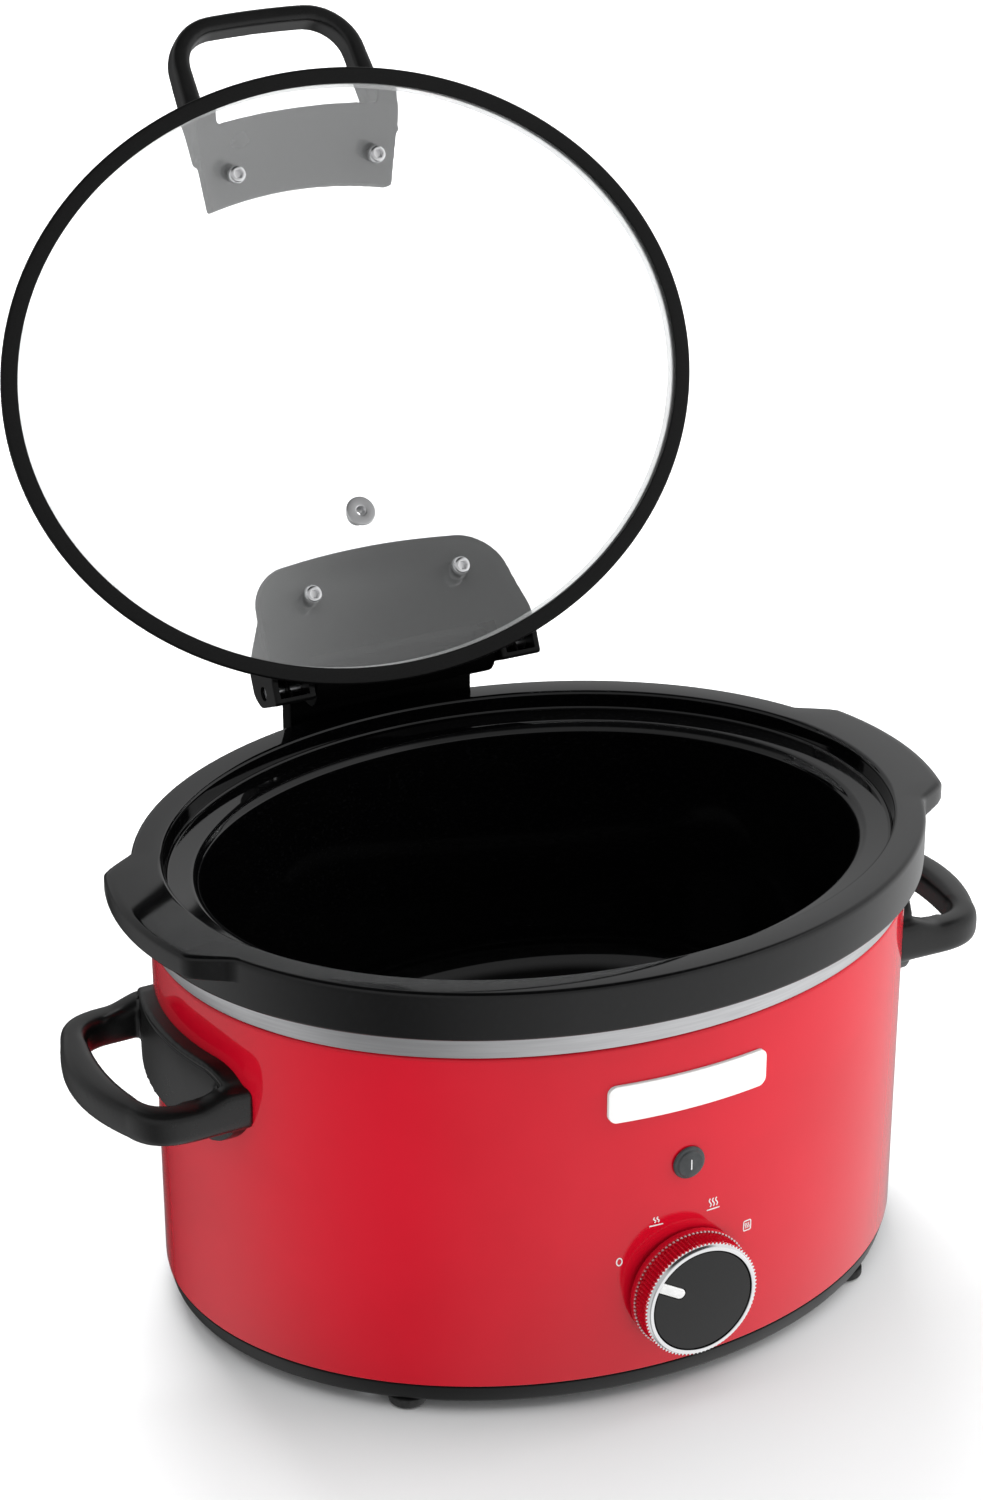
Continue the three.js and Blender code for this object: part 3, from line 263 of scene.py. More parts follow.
def slab(name, top, bottom):
    """A closed body between two grids of the same size."""
    rows, columns = top.shape[:2]
    count = rows * columns
    faces = grid_faces(rows, columns, False, False)
    faces += [tuple(count + k for k in face[::-1]) for face in faces]
    for i in range(rows - 1):
        for j in (0, columns - 1):
            a, b = i * columns + j, (i + 1) * columns + j
            faces.append((a, b, count + b, count + a))
    for j in range(columns - 1):
        for i in (0, rows - 1):
            a, b = i * columns + j, i * columns + j + 1
            faces.append((a, b, count + b, count + a))
    corners = np.concatenate([top.reshape(-1, 3), bottom.reshape(-1, 3)])
    return mesh_object(name, corners, faces)


def rectangle(u, v, size):
    """The outline of a rectangle between two u and two v, with rounded corners."""
    return rounded([(u[0], v[0], size), (u[1], v[0], size), (u[1], v[1], size), (u[0], v[1], size)])


def span(side, near, far):
    """The lower and the upper end of a stretch on one side of the middle."""
    return sorted((side * near, side * far))


def rounded_box(name, x, y, z, size):
    return prism(name, rectangle(x, y, size), 2, z[0], z[1])


def arc(u, v, radius, start, end, count, whole=False):
    """Points on a circle round [u, v] between two angles. A whole circle leaves out its last point."""
    t = np.linspace(start, end, count, endpoint=not whole)
    return np.stack([u + radius * np.cos(t), v + radius * np.sin(t)], -1)


def circle(u, v, radius, count=48):
    return arc(u, v, radius, 0, 2 * np.pi, count, whole=True)


def apply_modifiers(obj):
    """Turns the object's modifiers into its mesh."""
    ready = obj.evaluated_get(bpy.context.evaluated_depsgraph_get())
    mesh = bpy.data.meshes.new_from_object(ready)
    obj.modifiers.clear()
    old, obj.data = obj.data, mesh
    bpy.data.meshes.remove(old)
    return obj


def combine(obj, tools, operation="DIFFERENCE"):
    """Cuts the tools out of obj, adds them to it or keeps what they share, and deletes them."""
    for tool in tools:
        step = obj.modifiers.new("step", "BOOLEAN")
        step.operation, step.solver, step.object = operation, "EXACT", tool
        apply_modifiers(obj)
        bpy.data.objects.remove(tool)
    return obj


def moulded(obj, voxel=0.8, rounds=6):
    """One closed skin over everything in obj, with soft edges as on a moulded part."""
    skin = obj.modifiers.new("skin", "REMESH")
    skin.mode, skin.voxel_size, skin.adaptivity = "VOXEL", voxel, 0
    soft = obj.modifiers.new("soft", "SMOOTH")
    soft.factor, soft.iterations = 0.5, rounds
    return apply_modifiers(obj)


def bevelled(obj, width, segments=3, angle=40):
    bevel = obj.modifiers.new("bevel", "BEVEL")
    bevel.width, bevel.segments = width, segments
    bevel.limit_method, bevel.angle_limit = "ANGLE", math.radians(angle)
    return apply_modifiers(obj)


def join(first, *others):
    """Puts the faces of the others into the first object."""
    work = bmesh.new()
    work.from_mesh(first.data)
    for other in others:
        work.from_mesh(other.data)
        bpy.data.objects.remove(other)
    work.to_mesh(first.data)
    work.free()
    return first


def settle(obj, place, body, slot, nodes=(), sharp=35, look=None):
    """Moves a piece from its local frame to the world, and says what it rides on and stands for.

    look names the material where it isn't the slot's own, and sharp is the angle of a hard edge.
    """
    mesh = obj.data
    corners = np.zeros(len(mesh.vertices) * 3)
    mesh.vertices.foreach_get("co", corners)
    mesh.vertices.foreach_set("co", place(corners.reshape(-1, 3)).ravel())
    mesh.polygons.foreach_set("use_smooth", [True] * len(mesh.polygons))
    mesh.set_sharp_from_angle(angle=math.radians(sharp))
    mesh.update()
    mesh.materials.clear()
    mesh.materials.append(MATERIALS[look or slot])
    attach(obj, body)
    if nodes:
        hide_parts(*nodes)
    return obj


# -------------------- materials
def fill(node, **values):
    """Sets a node's inputs by name. An underscore stands for a space."""
    for key, value in values.items():
        node.inputs[key.replace("_", " ")].default_value = value


def set_range(node, start, end, low=0, high=1):
    """Makes a Map Range node go from low to high as its value goes from start to end."""
    fill(node, From_Min=start, From_Max=end, To_Min=low, To_Max=high)


class Nodes:
    """A material's node tree, with its Principled shader."""

    def __init__(self, name):
        self.material = bpy.data.materials.new(name)
        self.material.use_nodes = True
        self.tree = self.material.node_tree
        self.shader = self.tree.nodes["Principled BSDF"]
        self.coordinates = self.tree.nodes.new("ShaderNodeTexCoord")

    def set(self, **values):
        fill(self.shader, **values)

    def link(self, source, target):
        self.tree.links.new(source, target)

    def noise(self, scale, stretch=(1, 1, 1), detail=3, rough=0.5):
        mapping = self.tree.nodes.new("ShaderNodeMapping")
        fill(mapping, Scale=stretch)
        self.link(self.coordinates.outputs["Object"], mapping.inputs["Vector"])
        noise = self.tree.nodes.new("ShaderNodeTexNoise")
        fill(noise, Scale=scale, Detail=detail, Roughness=rough)
        self.link(mapping.outputs["Vector"], noise.inputs["Vector"])
        return noise.outputs["Fac"]

    def ramp(self, source, low, high, start=0.35, end=0.65):
        """Colours from low to high as the source goes from start to end."""
        ramp = self.tree.nodes.new("ShaderNodeValToRGB")
        for element, position, colour in zip(ramp.color_ramp.elements, (start, end), (low, high)):
            element.position = position
            element.color = (*colour, 1)
        self.link(source, ramp.inputs["Fac"])
        return ramp.outputs["Color"]

    def spread(self, source, low, high, start=0.3, end=0.7):
        """Numbers from low to high as the source goes from start to end."""
        spread = self.tree.nodes.new("ShaderNodeMapRange")
        set_range(spread, start, end, low, high)
        self.link(source, spread.inputs["Value"])
        return spread.outputs["Result"]

    def colour(self, source, low, high, start=0.35, end=0.65):
        self.link(self.ramp(source, low, high, start, end), self.shader.inputs["Base Color"])

    def roughness(self, source, low, high):
        self.link(self.spread(source, low, high), self.shader.inputs["Roughness"])

    def bump(self, source, depth_mm, strength=1.0, also=None):
        """A height of depth_mm from the source. also is an earlier bump's normal."""
        bump = self.tree.nodes.new("ShaderNodeBump")
        fill(bump, Distance=depth_mm * MM, Strength=strength)
        self.link(source, bump.inputs["Height"])
        if also:
            self.link(also, bump.inputs["Normal"])
        self.link(bump.outputs["Normal"], self.shader.inputs["Normal"])
        return bump.outputs["Normal"]


def red_paint():
    """Deep glossy enamel with a faint orange peel under a clear coat."""
    n = Nodes("red_enamel")
    n.colour(n.noise(14, detail=4), (0.585, 0.003, 0.0165), (0.635, 0.0045, 0.0205))
    n.roughness(n.noise(60), 0.3, 0.38)
    peel = n.bump(n.noise(420, detail=1), 0.008, 0.25)
    n.link(peel, n.shader.inputs["Coat Normal"])
    n.set(Coat_Weight=1.0, Coat_Roughness=0.045, Coat_IOR=1.5, Specular_IOR_Level=0.0)
    return n.material


def black_glaze():
    """Black stoneware glaze, wet-looking and slightly wavy, with pinpoint specks."""
    n = Nodes("black_glaze")
    n.colour(n.noise(900, detail=2), (0.001, 0.001, 0.0011), (0.005, 0.005, 0.0055), 0.55, 0.8)
    n.roughness(n.noise(45), 0.04, 0.075)
    n.bump(n.noise(55, detail=1), 0.04, 0.15)
    n.set(IOR=1.48)
    return n.material


def black_plastic(name="black_plastic", low=0.0025, high=0.0055, rough=(0.26, 0.36), grain=0.012, **settings):
    """Moulded plastic with a fine spark-eroded grain."""
    n = Nodes(name)
    n.colour(n.noise(1800, detail=2), (low, low, low), (high, high, high))
    n.roughness(n.noise(35, detail=5), *rough)
    n.bump(n.noise(2600, detail=2), grain, 0.5)
    n.set(**settings)
    return n.material


def rubber():
    n = Nodes("foot_rubber")
    n.colour(n.noise(700), (0.008, 0.008, 0.008), (0.02, 0.02, 0.02))
    n.roughness(n.noise(90), 0.62, 0.8)
    n.bump(n.noise(1500), 0.03, 0.6)
    return n.material


def metal(name, low, high, rough, stretch=(1, 1, 1), scale=60, depth_mm=0.01, strength=0.3):
    n = Nodes(name)
    n.colour(n.noise(scale, stretch), low, high)
    n.roughness(n.noise(scale * 1.7, stretch, detail=5), *rough)
    n.bump(n.noise(scale * 3, stretch, detail=4), depth_mm, strength)
    n.set(Metallic=1.0)
    return n.material


def lid_glass():
    """Clear tempered glass: see-through at its face, brighter towards its edges, with a faint haze."""
    n = Nodes("lid_glass")
    n.colour(n.noise(9, detail=2), (0.93, 0.94, 0.94), (0.96, 0.97, 0.97))
    n.roughness(n.noise(25), 0.01, 0.03)
    edge = n.tree.nodes.new("ShaderNodeFresnel")
    fill(edge, IOR=1.5)
    n.link(n.spread(edge.outputs["Fac"], 0.15, 0.7, 0.04, 0.9), n.shader.inputs["Alpha"])
    n.set(IOR=1.5, Metallic=0.6)
    return n.material


def lens_plastic():
    n = Nodes("lens_plastic")
    n.colour(n.noise(300), (0.045, 0.048, 0.05), (0.06, 0.064, 0.066))
    n.roughness(n.noise(80), 0.14, 0.2)
    n.set(Specular_IOR_Level=0.3)
    return n.material


def plain(name, low, high, rough, scale=300, depth_mm=0.02, **settings):
    """Two close shades, a roughness and a bump, all from noise."""
    n = Nodes(name)
    n.colour(n.noise(scale, detail=4), low, high)
    n.roughness(n.noise(scale / 3), *rough)
    n.bump(n.noise(scale * 3), depth_mm, 0.4)
    n.set(**settings)
    return n.material


AROUND = (1, 1, 28)  # stretches noise into lines that run round an upright wall

MATERIALS = {
    "red_paint": red_paint(),
    "glazed_stoneware": black_glaze(),
    "black_plastic": black_plastic(),
    # Painted shade: darker, less glossy copies of the black plastic for the hinge socket, lid ring and hinge
    # cover, and for the hinge post, so they read darker than the same plastic elsewhere
    "shade_darkened_plastic": black_plastic("shade_darkened_plastic", 0.002, 0.004, (0.34, 0.44), Specular_IOR_Level=0.2),
    "shaded_plastic": black_plastic("shaded_plastic", 0.001, 0.002, (0.45, 0.55), Specular_IOR_Level=0.03),
    "base_plastic": black_plastic("base_plastic", 0.003, 0.006, (0.32, 0.42), Specular_IOR_Level=0.25),
    "badge_enamel": plain("badge_enamel", (0.93, 0.93, 0.92), (0.95, 0.95, 0.94), (0.26, 0.3), 80, 0.002),
    "foot_rubber": rubber(),
    "steel": metal("steel", (0.5, 0.51, 0.52), (0.62, 0.63, 0.64), (0.25, 0.38)),
    "bolt_steel": metal("bolt_steel", (0.78, 0.78, 0.79), (0.88, 0.88, 0.89), (0.12, 0.2), depth_mm=0.003),
    "satin_ring": metal("satin_ring", (0.8, 0.8, 0.81), (0.86, 0.86, 0.87), (0.3, 0.4), depth_mm=0.003),
    "chrome": metal("chrome", (0.9, 0.9, 0.91), (0.95, 0.95, 0.96), (0.08, 0.16), depth_mm=0.002),
    "liner_aluminium": metal("satin_aluminium", (0.6, 0.6, 0.61), (0.68, 0.68, 0.69), (0.3, 0.4), AROUND, 40),
    "mica": plain("mica", (0.2, 0.14, 0.07), (0.42, 0.33, 0.18), (0.5, 0.7)),
    "insulation_felt": plain("felt", (0.5, 0.47, 0.4), (0.68, 0.65, 0.58), (0.85, 0.95), 900, 0.15),
    "switch_nylon": plain("nylon", (0.66, 0.63, 0.54), (0.74, 0.71, 0.63), (0.4, 0.55)),
    "lamp_glass": plain(
        "lamp_glass", (0.8, 0.5, 0.36), (0.9, 0.62, 0.46), (0.05, 0.1), Transmission_Weight=0.6,
    ),
    "lens_plastic": lens_plastic(),
    "pointer_white": plain("pointer_white", (0.8, 0.8, 0.8), (0.86, 0.86, 0.85), (0.35, 0.45)),
    "lid_glass": lid_glass(),
    "wire_brown": plain("wire_brown", (0.1, 0.045, 0.02), (0.17, 0.075, 0.035), (0.4, 0.55)),
    "wire_blue": plain("wire_blue", (0.02, 0.075, 0.28), (0.035, 0.12, 0.4), (0.4, 0.55)),
}


# -------------------- body
def body_wall():
    sheet, hem = 1.5, WALL_HEAD_A - 4.2
    profile = rounded([
        (WALL_FOOT_A - sheet, WALL_BOTTOM, 0.3), (WALL_FOOT_A, WALL_BOTTOM, 0.6),
        (WALL_HEAD_A, WALL_TOP, 1.6), (hem, WALL_TOP, 0.5),
        (hem, WALL_TOP - sheet, 0.5), (WALL_HEAD_A - sheet, WALL_TOP - 2.1, 1),
    ])
    wall = lathe("body_wall", profile)
    wall.visible_diffuse = False  # keeps its red off the floor
    settle(wall, pot_frame, "base", "red_paint", ["housing"])


def base_ring():
    ledge, spigot_top, floor_top = WALL_BOTTOM - GAP, WALL_BOTTOM + 9, FOOT_TOP + 3
    spigot_a, inner_a = 141.8, 139.6
    profile = rounded([
        (0, FOOT_TOP, 0), (141.4, FOOT_TOP, 2), (143.6, ledge, 0.7), (spigot_a, ledge, 0.2),
        (spigot_a, spigot_top, 0.3), (inner_a, spigot_top, 0.3), (inner_a, floor_top, 1), (0, floor_top, 0),
    ], closed=False)
    ring = lathe("base_ring", profile, closed=False)
    settle(ring, pot_frame, "base", "base_plastic", ["base_tray"])


def liner_vessel():
    skin, floor = 1.2, 46
    top, under = SKIRT_BOTTOM - 0.45, SKIRT_BOTTOM - 0.45 - skin
    foot, shoulder = WALL_TOP + GAP, WALL_TOP - 6
    profile = rounded([
        (0, floor, 0), (133, floor, 26), (137.6, shoulder, 2), (138.3, under, 2),
        (143.2, under, 1.8), (143.7, foot, 0.2), (144.9, foot, 0.5), (145, top - 3, 1.5),
        (144.2, top, 1.6), (137.2, top, 1.6), (136.4, shoulder, 2), (131.8, floor + skin, 24.8),
        (0, floor + skin, 0),
    ], steps=8, closed=False)
    vessel = lathe("liner_vessel", profile, closed=False)
    settle(vessel, pot_frame, "base", "liner_aluminium", ["liner"])


def rubber_feet():
    names = ["foot_front_left", "foot_front_right", "foot_rear_left", "foot_rear_right"]
    for name in names:
        x, y, _ = box_middle(name)
        low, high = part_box(name)
        radius = (high.x - low.x) / 2 / MM
        top, stem_r, stem_top = FOOT_TOP - GAP, 2.8, FOOT_TOP + 6
        foot = turned_solid("rubber_" + name, [
            (0, 0, 0), (radius, 0, 1.2), (radius, top, 0.6),
            (stem_r, top, 0.2), (stem_r, stem_top, 0.8), (0, stem_top, 0),
        ], 48)
        settle(foot, lambda p: (p + np.array([x, y, 0])) * MM, "base", "foot_rubber", [name])


# -------------------- crock
def ear_share(angle):
    """1 on the lug at either end of the rim, falling to 0 along its slanted sides."""
    from_end = np.abs(np.degrees(np.arctan2(np.sin(angle), np.abs(np.cos(angle)))))
    slant_start, slant_end = 15.9, 21.4
    share = np.clip((slant_end - from_end) / (slant_end - slant_start), 0, 1)
    corner = 0.12
    near_top = np.clip((share - (1 - corner)) / corner, 0, 1)
    return share - corner * 0.5 * near_top**2 * (share < 1)


def stoneware_vessel():
    """The pot with its rim and lugs. Each point's third value is how far it reaches out at a lug."""
    outer, cavity, floor, under = 134.2, 125.6, 57, 49.5
    ear_low = RIM_TOP - EAR_THICK
    profile = rounded([
        (0, under, 0, 0), (129.2, under, 0, 24), (outer, WALL_TOP - 4, 0, 8), (outer, SKIRT_BOTTOM, 0, 1),
        (RIM_A, SKIRT_BOTTOM, 0, 1.4), (RIM_A, ear_low, 0, 1), (RIM_A, ear_low, EAR_REACH, 1.6),
        (RIM_A, RIM_TOP, EAR_REACH, 2.6), (RIM_INNER_A, RIM_TOP, 0, 1.6), (138.7, 167.9, 0, 1.4),
        (cavity + 0.2, 167, 0, 4), (cavity - 6.6, floor, 0, 26), (0, floor, 0, 0),
    ], steps=7, closed=False)
    fine, coarse = 40, 150
    end = np.radians(24)
    near = np.linspace(-end, end, fine, endpoint=False)
    side = np.linspace(end, np.pi - end, coarse, endpoint=False)
    angles = np.concatenate([near, side, near + np.pi, side + np.pi])
    share = ear_share(angles)[:, None]
    a = profile[:, 0][None] + profile[:, 2][None] * share
    t = angles[:, None]
    grid = np.stack([a * np.cos(t), depth(a) * np.sin(t), profile[:, 1][None] + 0 * t], -1)
    faces = grid_faces(len(angles), len(profile), True, False)
    pot = mesh_object("stoneware_vessel", grid.reshape(-1, 3), faces)
    settle(pot, pot_frame, "crock", "glazed_stoneware", ["crock"], sharp=50)


# -------------------- front panel
def on_wall(x, z, proud=0.0):
    """Points on the front of the painted wall, proud of it by some millimetres."""
    x, z = np.broadcast_arrays(np.asarray(x, float), np.asarray(z, float))
    return np.stack([x, -depth_at(wall_a(z) + proud, x), z], -1)


def badge():
    half, tall, corner, thick = 31.6, 7.2, 3.2, 1.2
    z, width = rounded_rows(half, -tall, tall, corner, 8)
    x = np.linspace(-1, 1, 61)[None] * width[:, None]
    heights = BADGE_Z + z[:, None] + 0 * x
    plate = slab("badge_blank", on_wall(x, heights, GAP + thick), on_wall(x, heights, 0.05))
    bevelled(plate, 0.5)
    settle(plate, pot_frame, "base", "badge_enamel", ["badge_plate"])


def indicator():
    wall = float(wall_a(LENS_Z) - OVAL)
    stem_r, bore_r, stem_end = 4.8, 3, -3.2
    lens = turned_solid("indicator_dome", [
        (0, 2.5, 0), (4.9, 2.2, 1.6), (5.2, 1.5, 0.2), (6.1, 1.3, 0.7), (6.4, GAP, 0.3),
        (stem_r, GAP, 0.1), (stem_r, stem_end, 0.2), (bore_r, stem_end, 0.2), (bore_r, 0.6, 0.3), (0, 0.8, 0),
    ], 64)

    def place(p):
        return pot_frame(np.stack([p[:, 0], -wall - p[:, 2], LENS_Z + p[:, 1]], -1))

    settle(lens, place, "base", "lens_plastic", ["indicator_lens"])
    mark = prism("indicator_mark", rectangle((-0.22, 0.22), (-2, 2), 0.2), 2, 2.3, 2.6)
    settle(mark, place, "base", "pointer_white")


def stroke(points, width):
    """A flat line of [x, z] points on the front wall, as the two grids of a thin slab."""
    points = np.asarray(points, float)
    along = np.gradient(points, axis=0)
    along /= np.linalg.norm(along, axis=1)[:, None]
    side = np.stack([-along[:, 1], along[:, 0]], -1) * width / 2
    x = np.stack([points[:, 0] - side[:, 0], points[:, 0] + side[:, 0]], 1)
    z = np.stack([points[:, 1] - side[:, 1], points[:, 1] + side[:, 1]], 1)
    return on_wall(x, z, 0.12), on_wall(x, z, 0.01)


def wave(x, low, high, swing=0.42):
    z = np.linspace(low, high, 14)
    return np.stack([x + swing * np.sin((z - low) / (high - low) * 2 * np.pi), z], -1)


def polar(degrees, radius):
    angle = math.radians(degrees)
    return radius * math.sin(angle), KNOB_Z + radius * math.cos(angle)


def dial_marks():
    """Off, two heats and keep-warm, in plain symbols round the knob."""
    lines = []
    line = 0.45
    x, z = polar(-59.7, 30.1)
    ring = circle(0, 0, 1, 28)
    lines.append((np.concatenate([ring, ring[:2]]) * (1, 1.5) + (x, z), line))
    for degrees, radius, count, tall in ((-22.7, 31.5, 2, 2.2), (20.2, 32, 3, 3.4)):
        x, z = polar(degrees, radius)
        low, high = z - tall / 2, z + tall / 2
        for k in range(count):
            lines.append((wave(x + (k - (count - 1) / 2) * 1.35, low + 0.6, high + 0.6), line))
        lines.append((np.array([(x + step, low - 0.5) for step in (-2.7, 0, 2.7)]), line))
    x, z = polar(59.5, 30.7)
    border = rectangle((-1.6, 1.6), (-2, 2), 0.7)
    lines.append((np.concatenate([border, border[:2]]) + (x, z), line))
    for k in (-0.75, 0, 0.75):
        lines.append((wave(x + k, z - 1.1, z + 1.1, 0.22), 0.34))
    marks = [slab("mark", *stroke(points, width)) for points, width in lines]
    marks[0].name = "dial_marks"
    settle(join(*marks), pot_frame, "base", "pointer_white")


# -------------------- knob
KNURLS = 90
FACE_R, SEAT_R = 19.55, 20
POINTER_HALF, POINTER_FOOT = 1.9, 8.9
WAIST = KNOB_BACK - 2.8
KNURL_START = WAIST - 1.2
DIAL_FRONT = KNOB_FACE + 0.3


def knob_lathe(name, profile, flute_depth=None, closed=True):
    """A body of revolution along Y. flute_depth(y) is how deep the knurl is at a place along it."""
    def flutes(t, points):
        deep = flute_depth(points[:, 1])[None] if flute_depth else 0
        outer = (points[:, 0] > KNOB_R - 3)[None]
        return 1 - outer * deep / KNOB_R * (0.5 - 0.5 * np.cos(KNURLS * t))

    segments = KNURLS * 8 if flute_depth else 144
    obj = lathe(name, profile, oval=False, segments=segments, closed=closed, flutes=flutes)
    mesh = obj.data
    for vertex in mesh.vertices:
        x, y, z = vertex.co
        vertex.co = (x, z, -y)
    clean(mesh)
    return obj


def knurl_beads(radius, y, size):
    """A ring of small beads round the knob, one for each of its ribs."""
    ball = [(0, -size, 0), (size, -size, size), (size, size, size), (0, size, 0)]
    beads = []
    for k in range(KNURLS):
        angle = 2 * math.pi * (k + 0.5) / KNURLS
        bead = turned_solid("bead", ball, 10)
        bead.data.transform(Matrix.Translation((math.cos(angle) * radius, y, math.sin(angle) * radius)))
        beads.append(bead)
    beads[0].name = "dial_dots"
    return join(*beads)


def slot_outline(half, foot, end):
    """A slot with a round inner end, as [x, z] points. foot and end are its ends' distances from the axis."""
    tip = arc(0, foot + half, half, np.pi, 2 * np.pi, 17)
    return np.concatenate([tip, [(half, end), (-half, end)]])


def dial_skirt():
    skirt = knob_lathe("dial_skirt", rounded([
        (3.1, KNOB_BACK, 0), (KNOB_R + 0.4, KNOB_BACK, 0.9),
        (KNOB_R + 0.4, WAIST, 0.5), (KNOB_R - 0.3, WAIST, 0.1),
        (KNOB_R - 0.3, KNURL_START, 0.1), (KNOB_R, KNURL_START - 0.05, 0.2),
        (KNOB_R - 0.3, BEZEL_BACK + 0.1, 0.3), (3.1, BEZEL_BACK + 0.1, 0),
    ], steps=4), lambda y: 0.95 * (y < KNURL_START - 0.02))
    settle(skirt, knob_frame, "knob", "red_paint", ["knob_skirt"])
    dots = knurl_beads(KNOB_R + 0.1, WAIST - 0.6, 0.5)
    settle(dots, knob_frame, "knob", "chrome", look="satin_ring")


def dial_bezel():
    teeth_end = BEZEL_BACK - 1.2
    bezel = knob_lathe("dial_bezel", rounded([
        (SEAT_R, BEZEL_BACK, 0), (KNOB_R, BEZEL_BACK, 0.2),
        (KNOB_R, teeth_end + 0.1, 0.1), (KNOB_R - 0.8, teeth_end, 0.1),
        (KNOB_R - 1.2, KNOB_FACE + 0.25, 0.4), (KNOB_R - 1.5, KNOB_FACE, 0.3),
        (SEAT_R + 0.15, KNOB_FACE, 0.15), (SEAT_R, KNOB_FACE + 0.2, 0.1),
    ], steps=4), lambda y: 0.85 * (y > teeth_end + 0.05))
    settle(bezel, knob_frame, "knob", "chrome", ["knob_bezel"])


def dial_face():
    face = knob_lathe("dial_face", rounded([
        (0, BEZEL_BACK, 0), (FACE_R, BEZEL_BACK, 0.2), (FACE_R, DIAL_FRONT, 0.25), (0, DIAL_FRONT, 0),
    ], closed=False), closed=False)
    gap = 0.45
    room = slot_outline(POINTER_HALF + gap, POINTER_FOOT - gap, SEAT_R + 2)
    combine(face, [prism("room", room, 1, KNOB_FACE - 2, DIAL_FRONT + 1)])
    settle(face, knob_frame, "knob", "black_plastic", ["knob_face"])


def dial_pointer():
    shape = slot_outline(POINTER_HALF, POINTER_FOOT, SEAT_R - 0.05)
    pointer = bevelled(prism("dial_pointer", shape, 1, DIAL_FRONT - 0.1, DIAL_FRONT + 0.9), 0.12, 2)
    settle(pointer, knob_frame, "knob", "pointer_white", ["knob_pointer"])


# -------------------- side handles
def loop_rail(leg_end, half, corner_x, shoulder_x, shoulder_y, reach, start):
    """Half of a handle's edge seen from above, from the wall to the middle of the bar."""
    def curve(a, b, c, count):
        s = np.linspace(0, 1, count)[:, None]
        return (1 - s) ** 2 * np.array(a) + 2 * s * (1 - s) * np.array(b) + s * s * np.array(c)

    leg = np.linspace((start, -half), (leg_end, -half), 12, endpoint=False)
    corner = curve((leg_end, -half), (corner_x, -half), (shoulder_x, -shoulder_y), 14)[:-1]
    bow = 2 * reach - shoulder_x
    bar = curve((shoulder_x, -shoulder_y), (bow, 0), (shoulder_x, shoulder_y), 29)[:15]
    return np.concatenate([leg, corner, bar])


def rail_sweep(name, inner, outer, low, high, softness):
    """A bar with a rounded section that fills the room between two rails. low and high may vary along it."""
    count = 28
    t = np.linspace(0, 2 * np.pi, count, endpoint=False)
    power = 2 / softness
    u = np.sign(np.cos(t)) * np.abs(np.cos(t)) ** power
    v = np.sign(np.sin(t)) * np.abs(np.sin(t)) ** power
    middle, reach = (inner + outer) / 2, (outer - inner) / 2
    low, high = np.broadcast_to(low, len(inner)), np.broadcast_to(high, len(inner))
    grid = np.zeros((len(inner), count, 3))
    grid[:, :, :2] = middle[:, None] + reach[:, None] * u[None, :, None]
    grid[:, :, 2] = ((low + high) / 2)[:, None] + ((high - low) / 2)[:, None] * v[None]
    return capped_tube(name, grid)


def tube(name, points, radius, up=(1, 0, 0), sides=14):
    """A round bar along a line of points. up is a direction that the line never follows."""
    along = np.gradient(points, axis=0)
    along /= np.linalg.norm(along, axis=1)[:, None]
    side = np.cross(along, up)
    side /= np.linalg.norm(side, axis=1)[:, None]
    over = np.cross(side, along)
    t = np.linspace(0, 2 * np.pi, sides, endpoint=False)
    round_about = side[:, None] * np.cos(t)[:, None] + over[:, None] * np.sin(t)[:, None]
    return capped_tube(name, points[:, None] + radius * round_about)


def mirrored(rail, flip=(1, -1)):
    """The whole edge from one half of it, which ends on the middle plane that flip mirrors it in."""
    return np.concatenate([rail, (rail[:-1] * flip)[::-1]])


def shell_patch(a, thick, half, low, high, corner):
    """A rounded rectangle of shell on the end of the body, thick millimetres proud of the oval a."""
    z, width = rounded_rows(half, low, high, corner, 9)
    y = np.linspace(-1, 1, 49)[None] * width[:, None]
    z = z[:, None] + 0 * y

    def skin(oval):
        return np.stack([oval * np.sqrt(1 - (y / depth(oval)) ** 2), y, z], -1)

    return skin(a + thick), skin(a)


PAD_HALF, PAD_LOW, PAD_HIGH, PAD_CORNER, PAD_THICK = 43, 96, 127.5, 14.5, 5


def pad_line(inset, from_z, proud):
    """A line over the top of a handle's pad, parallel to its outline, starting and ending at a height."""
    half, top, corner = PAD_HALF - inset, PAD_HIGH - inset, PAD_CORNER - inset
    middle = top - corner
    start = math.asin(max(0, from_z - middle) / corner)
    bend = arc(half - corner, middle, corner, start, np.pi / 2, 14)
    path = np.concatenate([bend, (bend * (-1, 1))[::-1]])
    step = np.concatenate([[0], np.cumsum(np.linalg.norm(np.diff(path, axis=0), axis=1))])
    even = np.linspace(0, step[-1], 90)
    y, z = np.interp(even, step, path[:, 0]), np.interp(even, step, path[:, 1])
    a = float(wall_a(HANDLE_Z)) + proud
    return np.stack([a * np.sqrt(1 - (y / depth(a)) ** 2), y, z], -1)


def lip_line():
    """The raised edge of a handle's pad, which runs out along the top inner edge of each leg."""
    edge = pad_line(1.2, 121, PAD_THICK)
    s = np.linspace(0, 1, 14)[1:, None]
    ends = []
    for start, end_side in ((edge[0], 1), (edge[-1], -1)):
        knee = np.array([start[0] + 0.5, end_side * 37.4, 117.6])
        end = np.array([158, end_side * 34.9, 115.9])
        ends.append((1 - s) ** 2 * start + 2 * s * (1 - s) * knee + s * s * end)
    return np.concatenate([ends[0][::-1], edge, ends[1]])


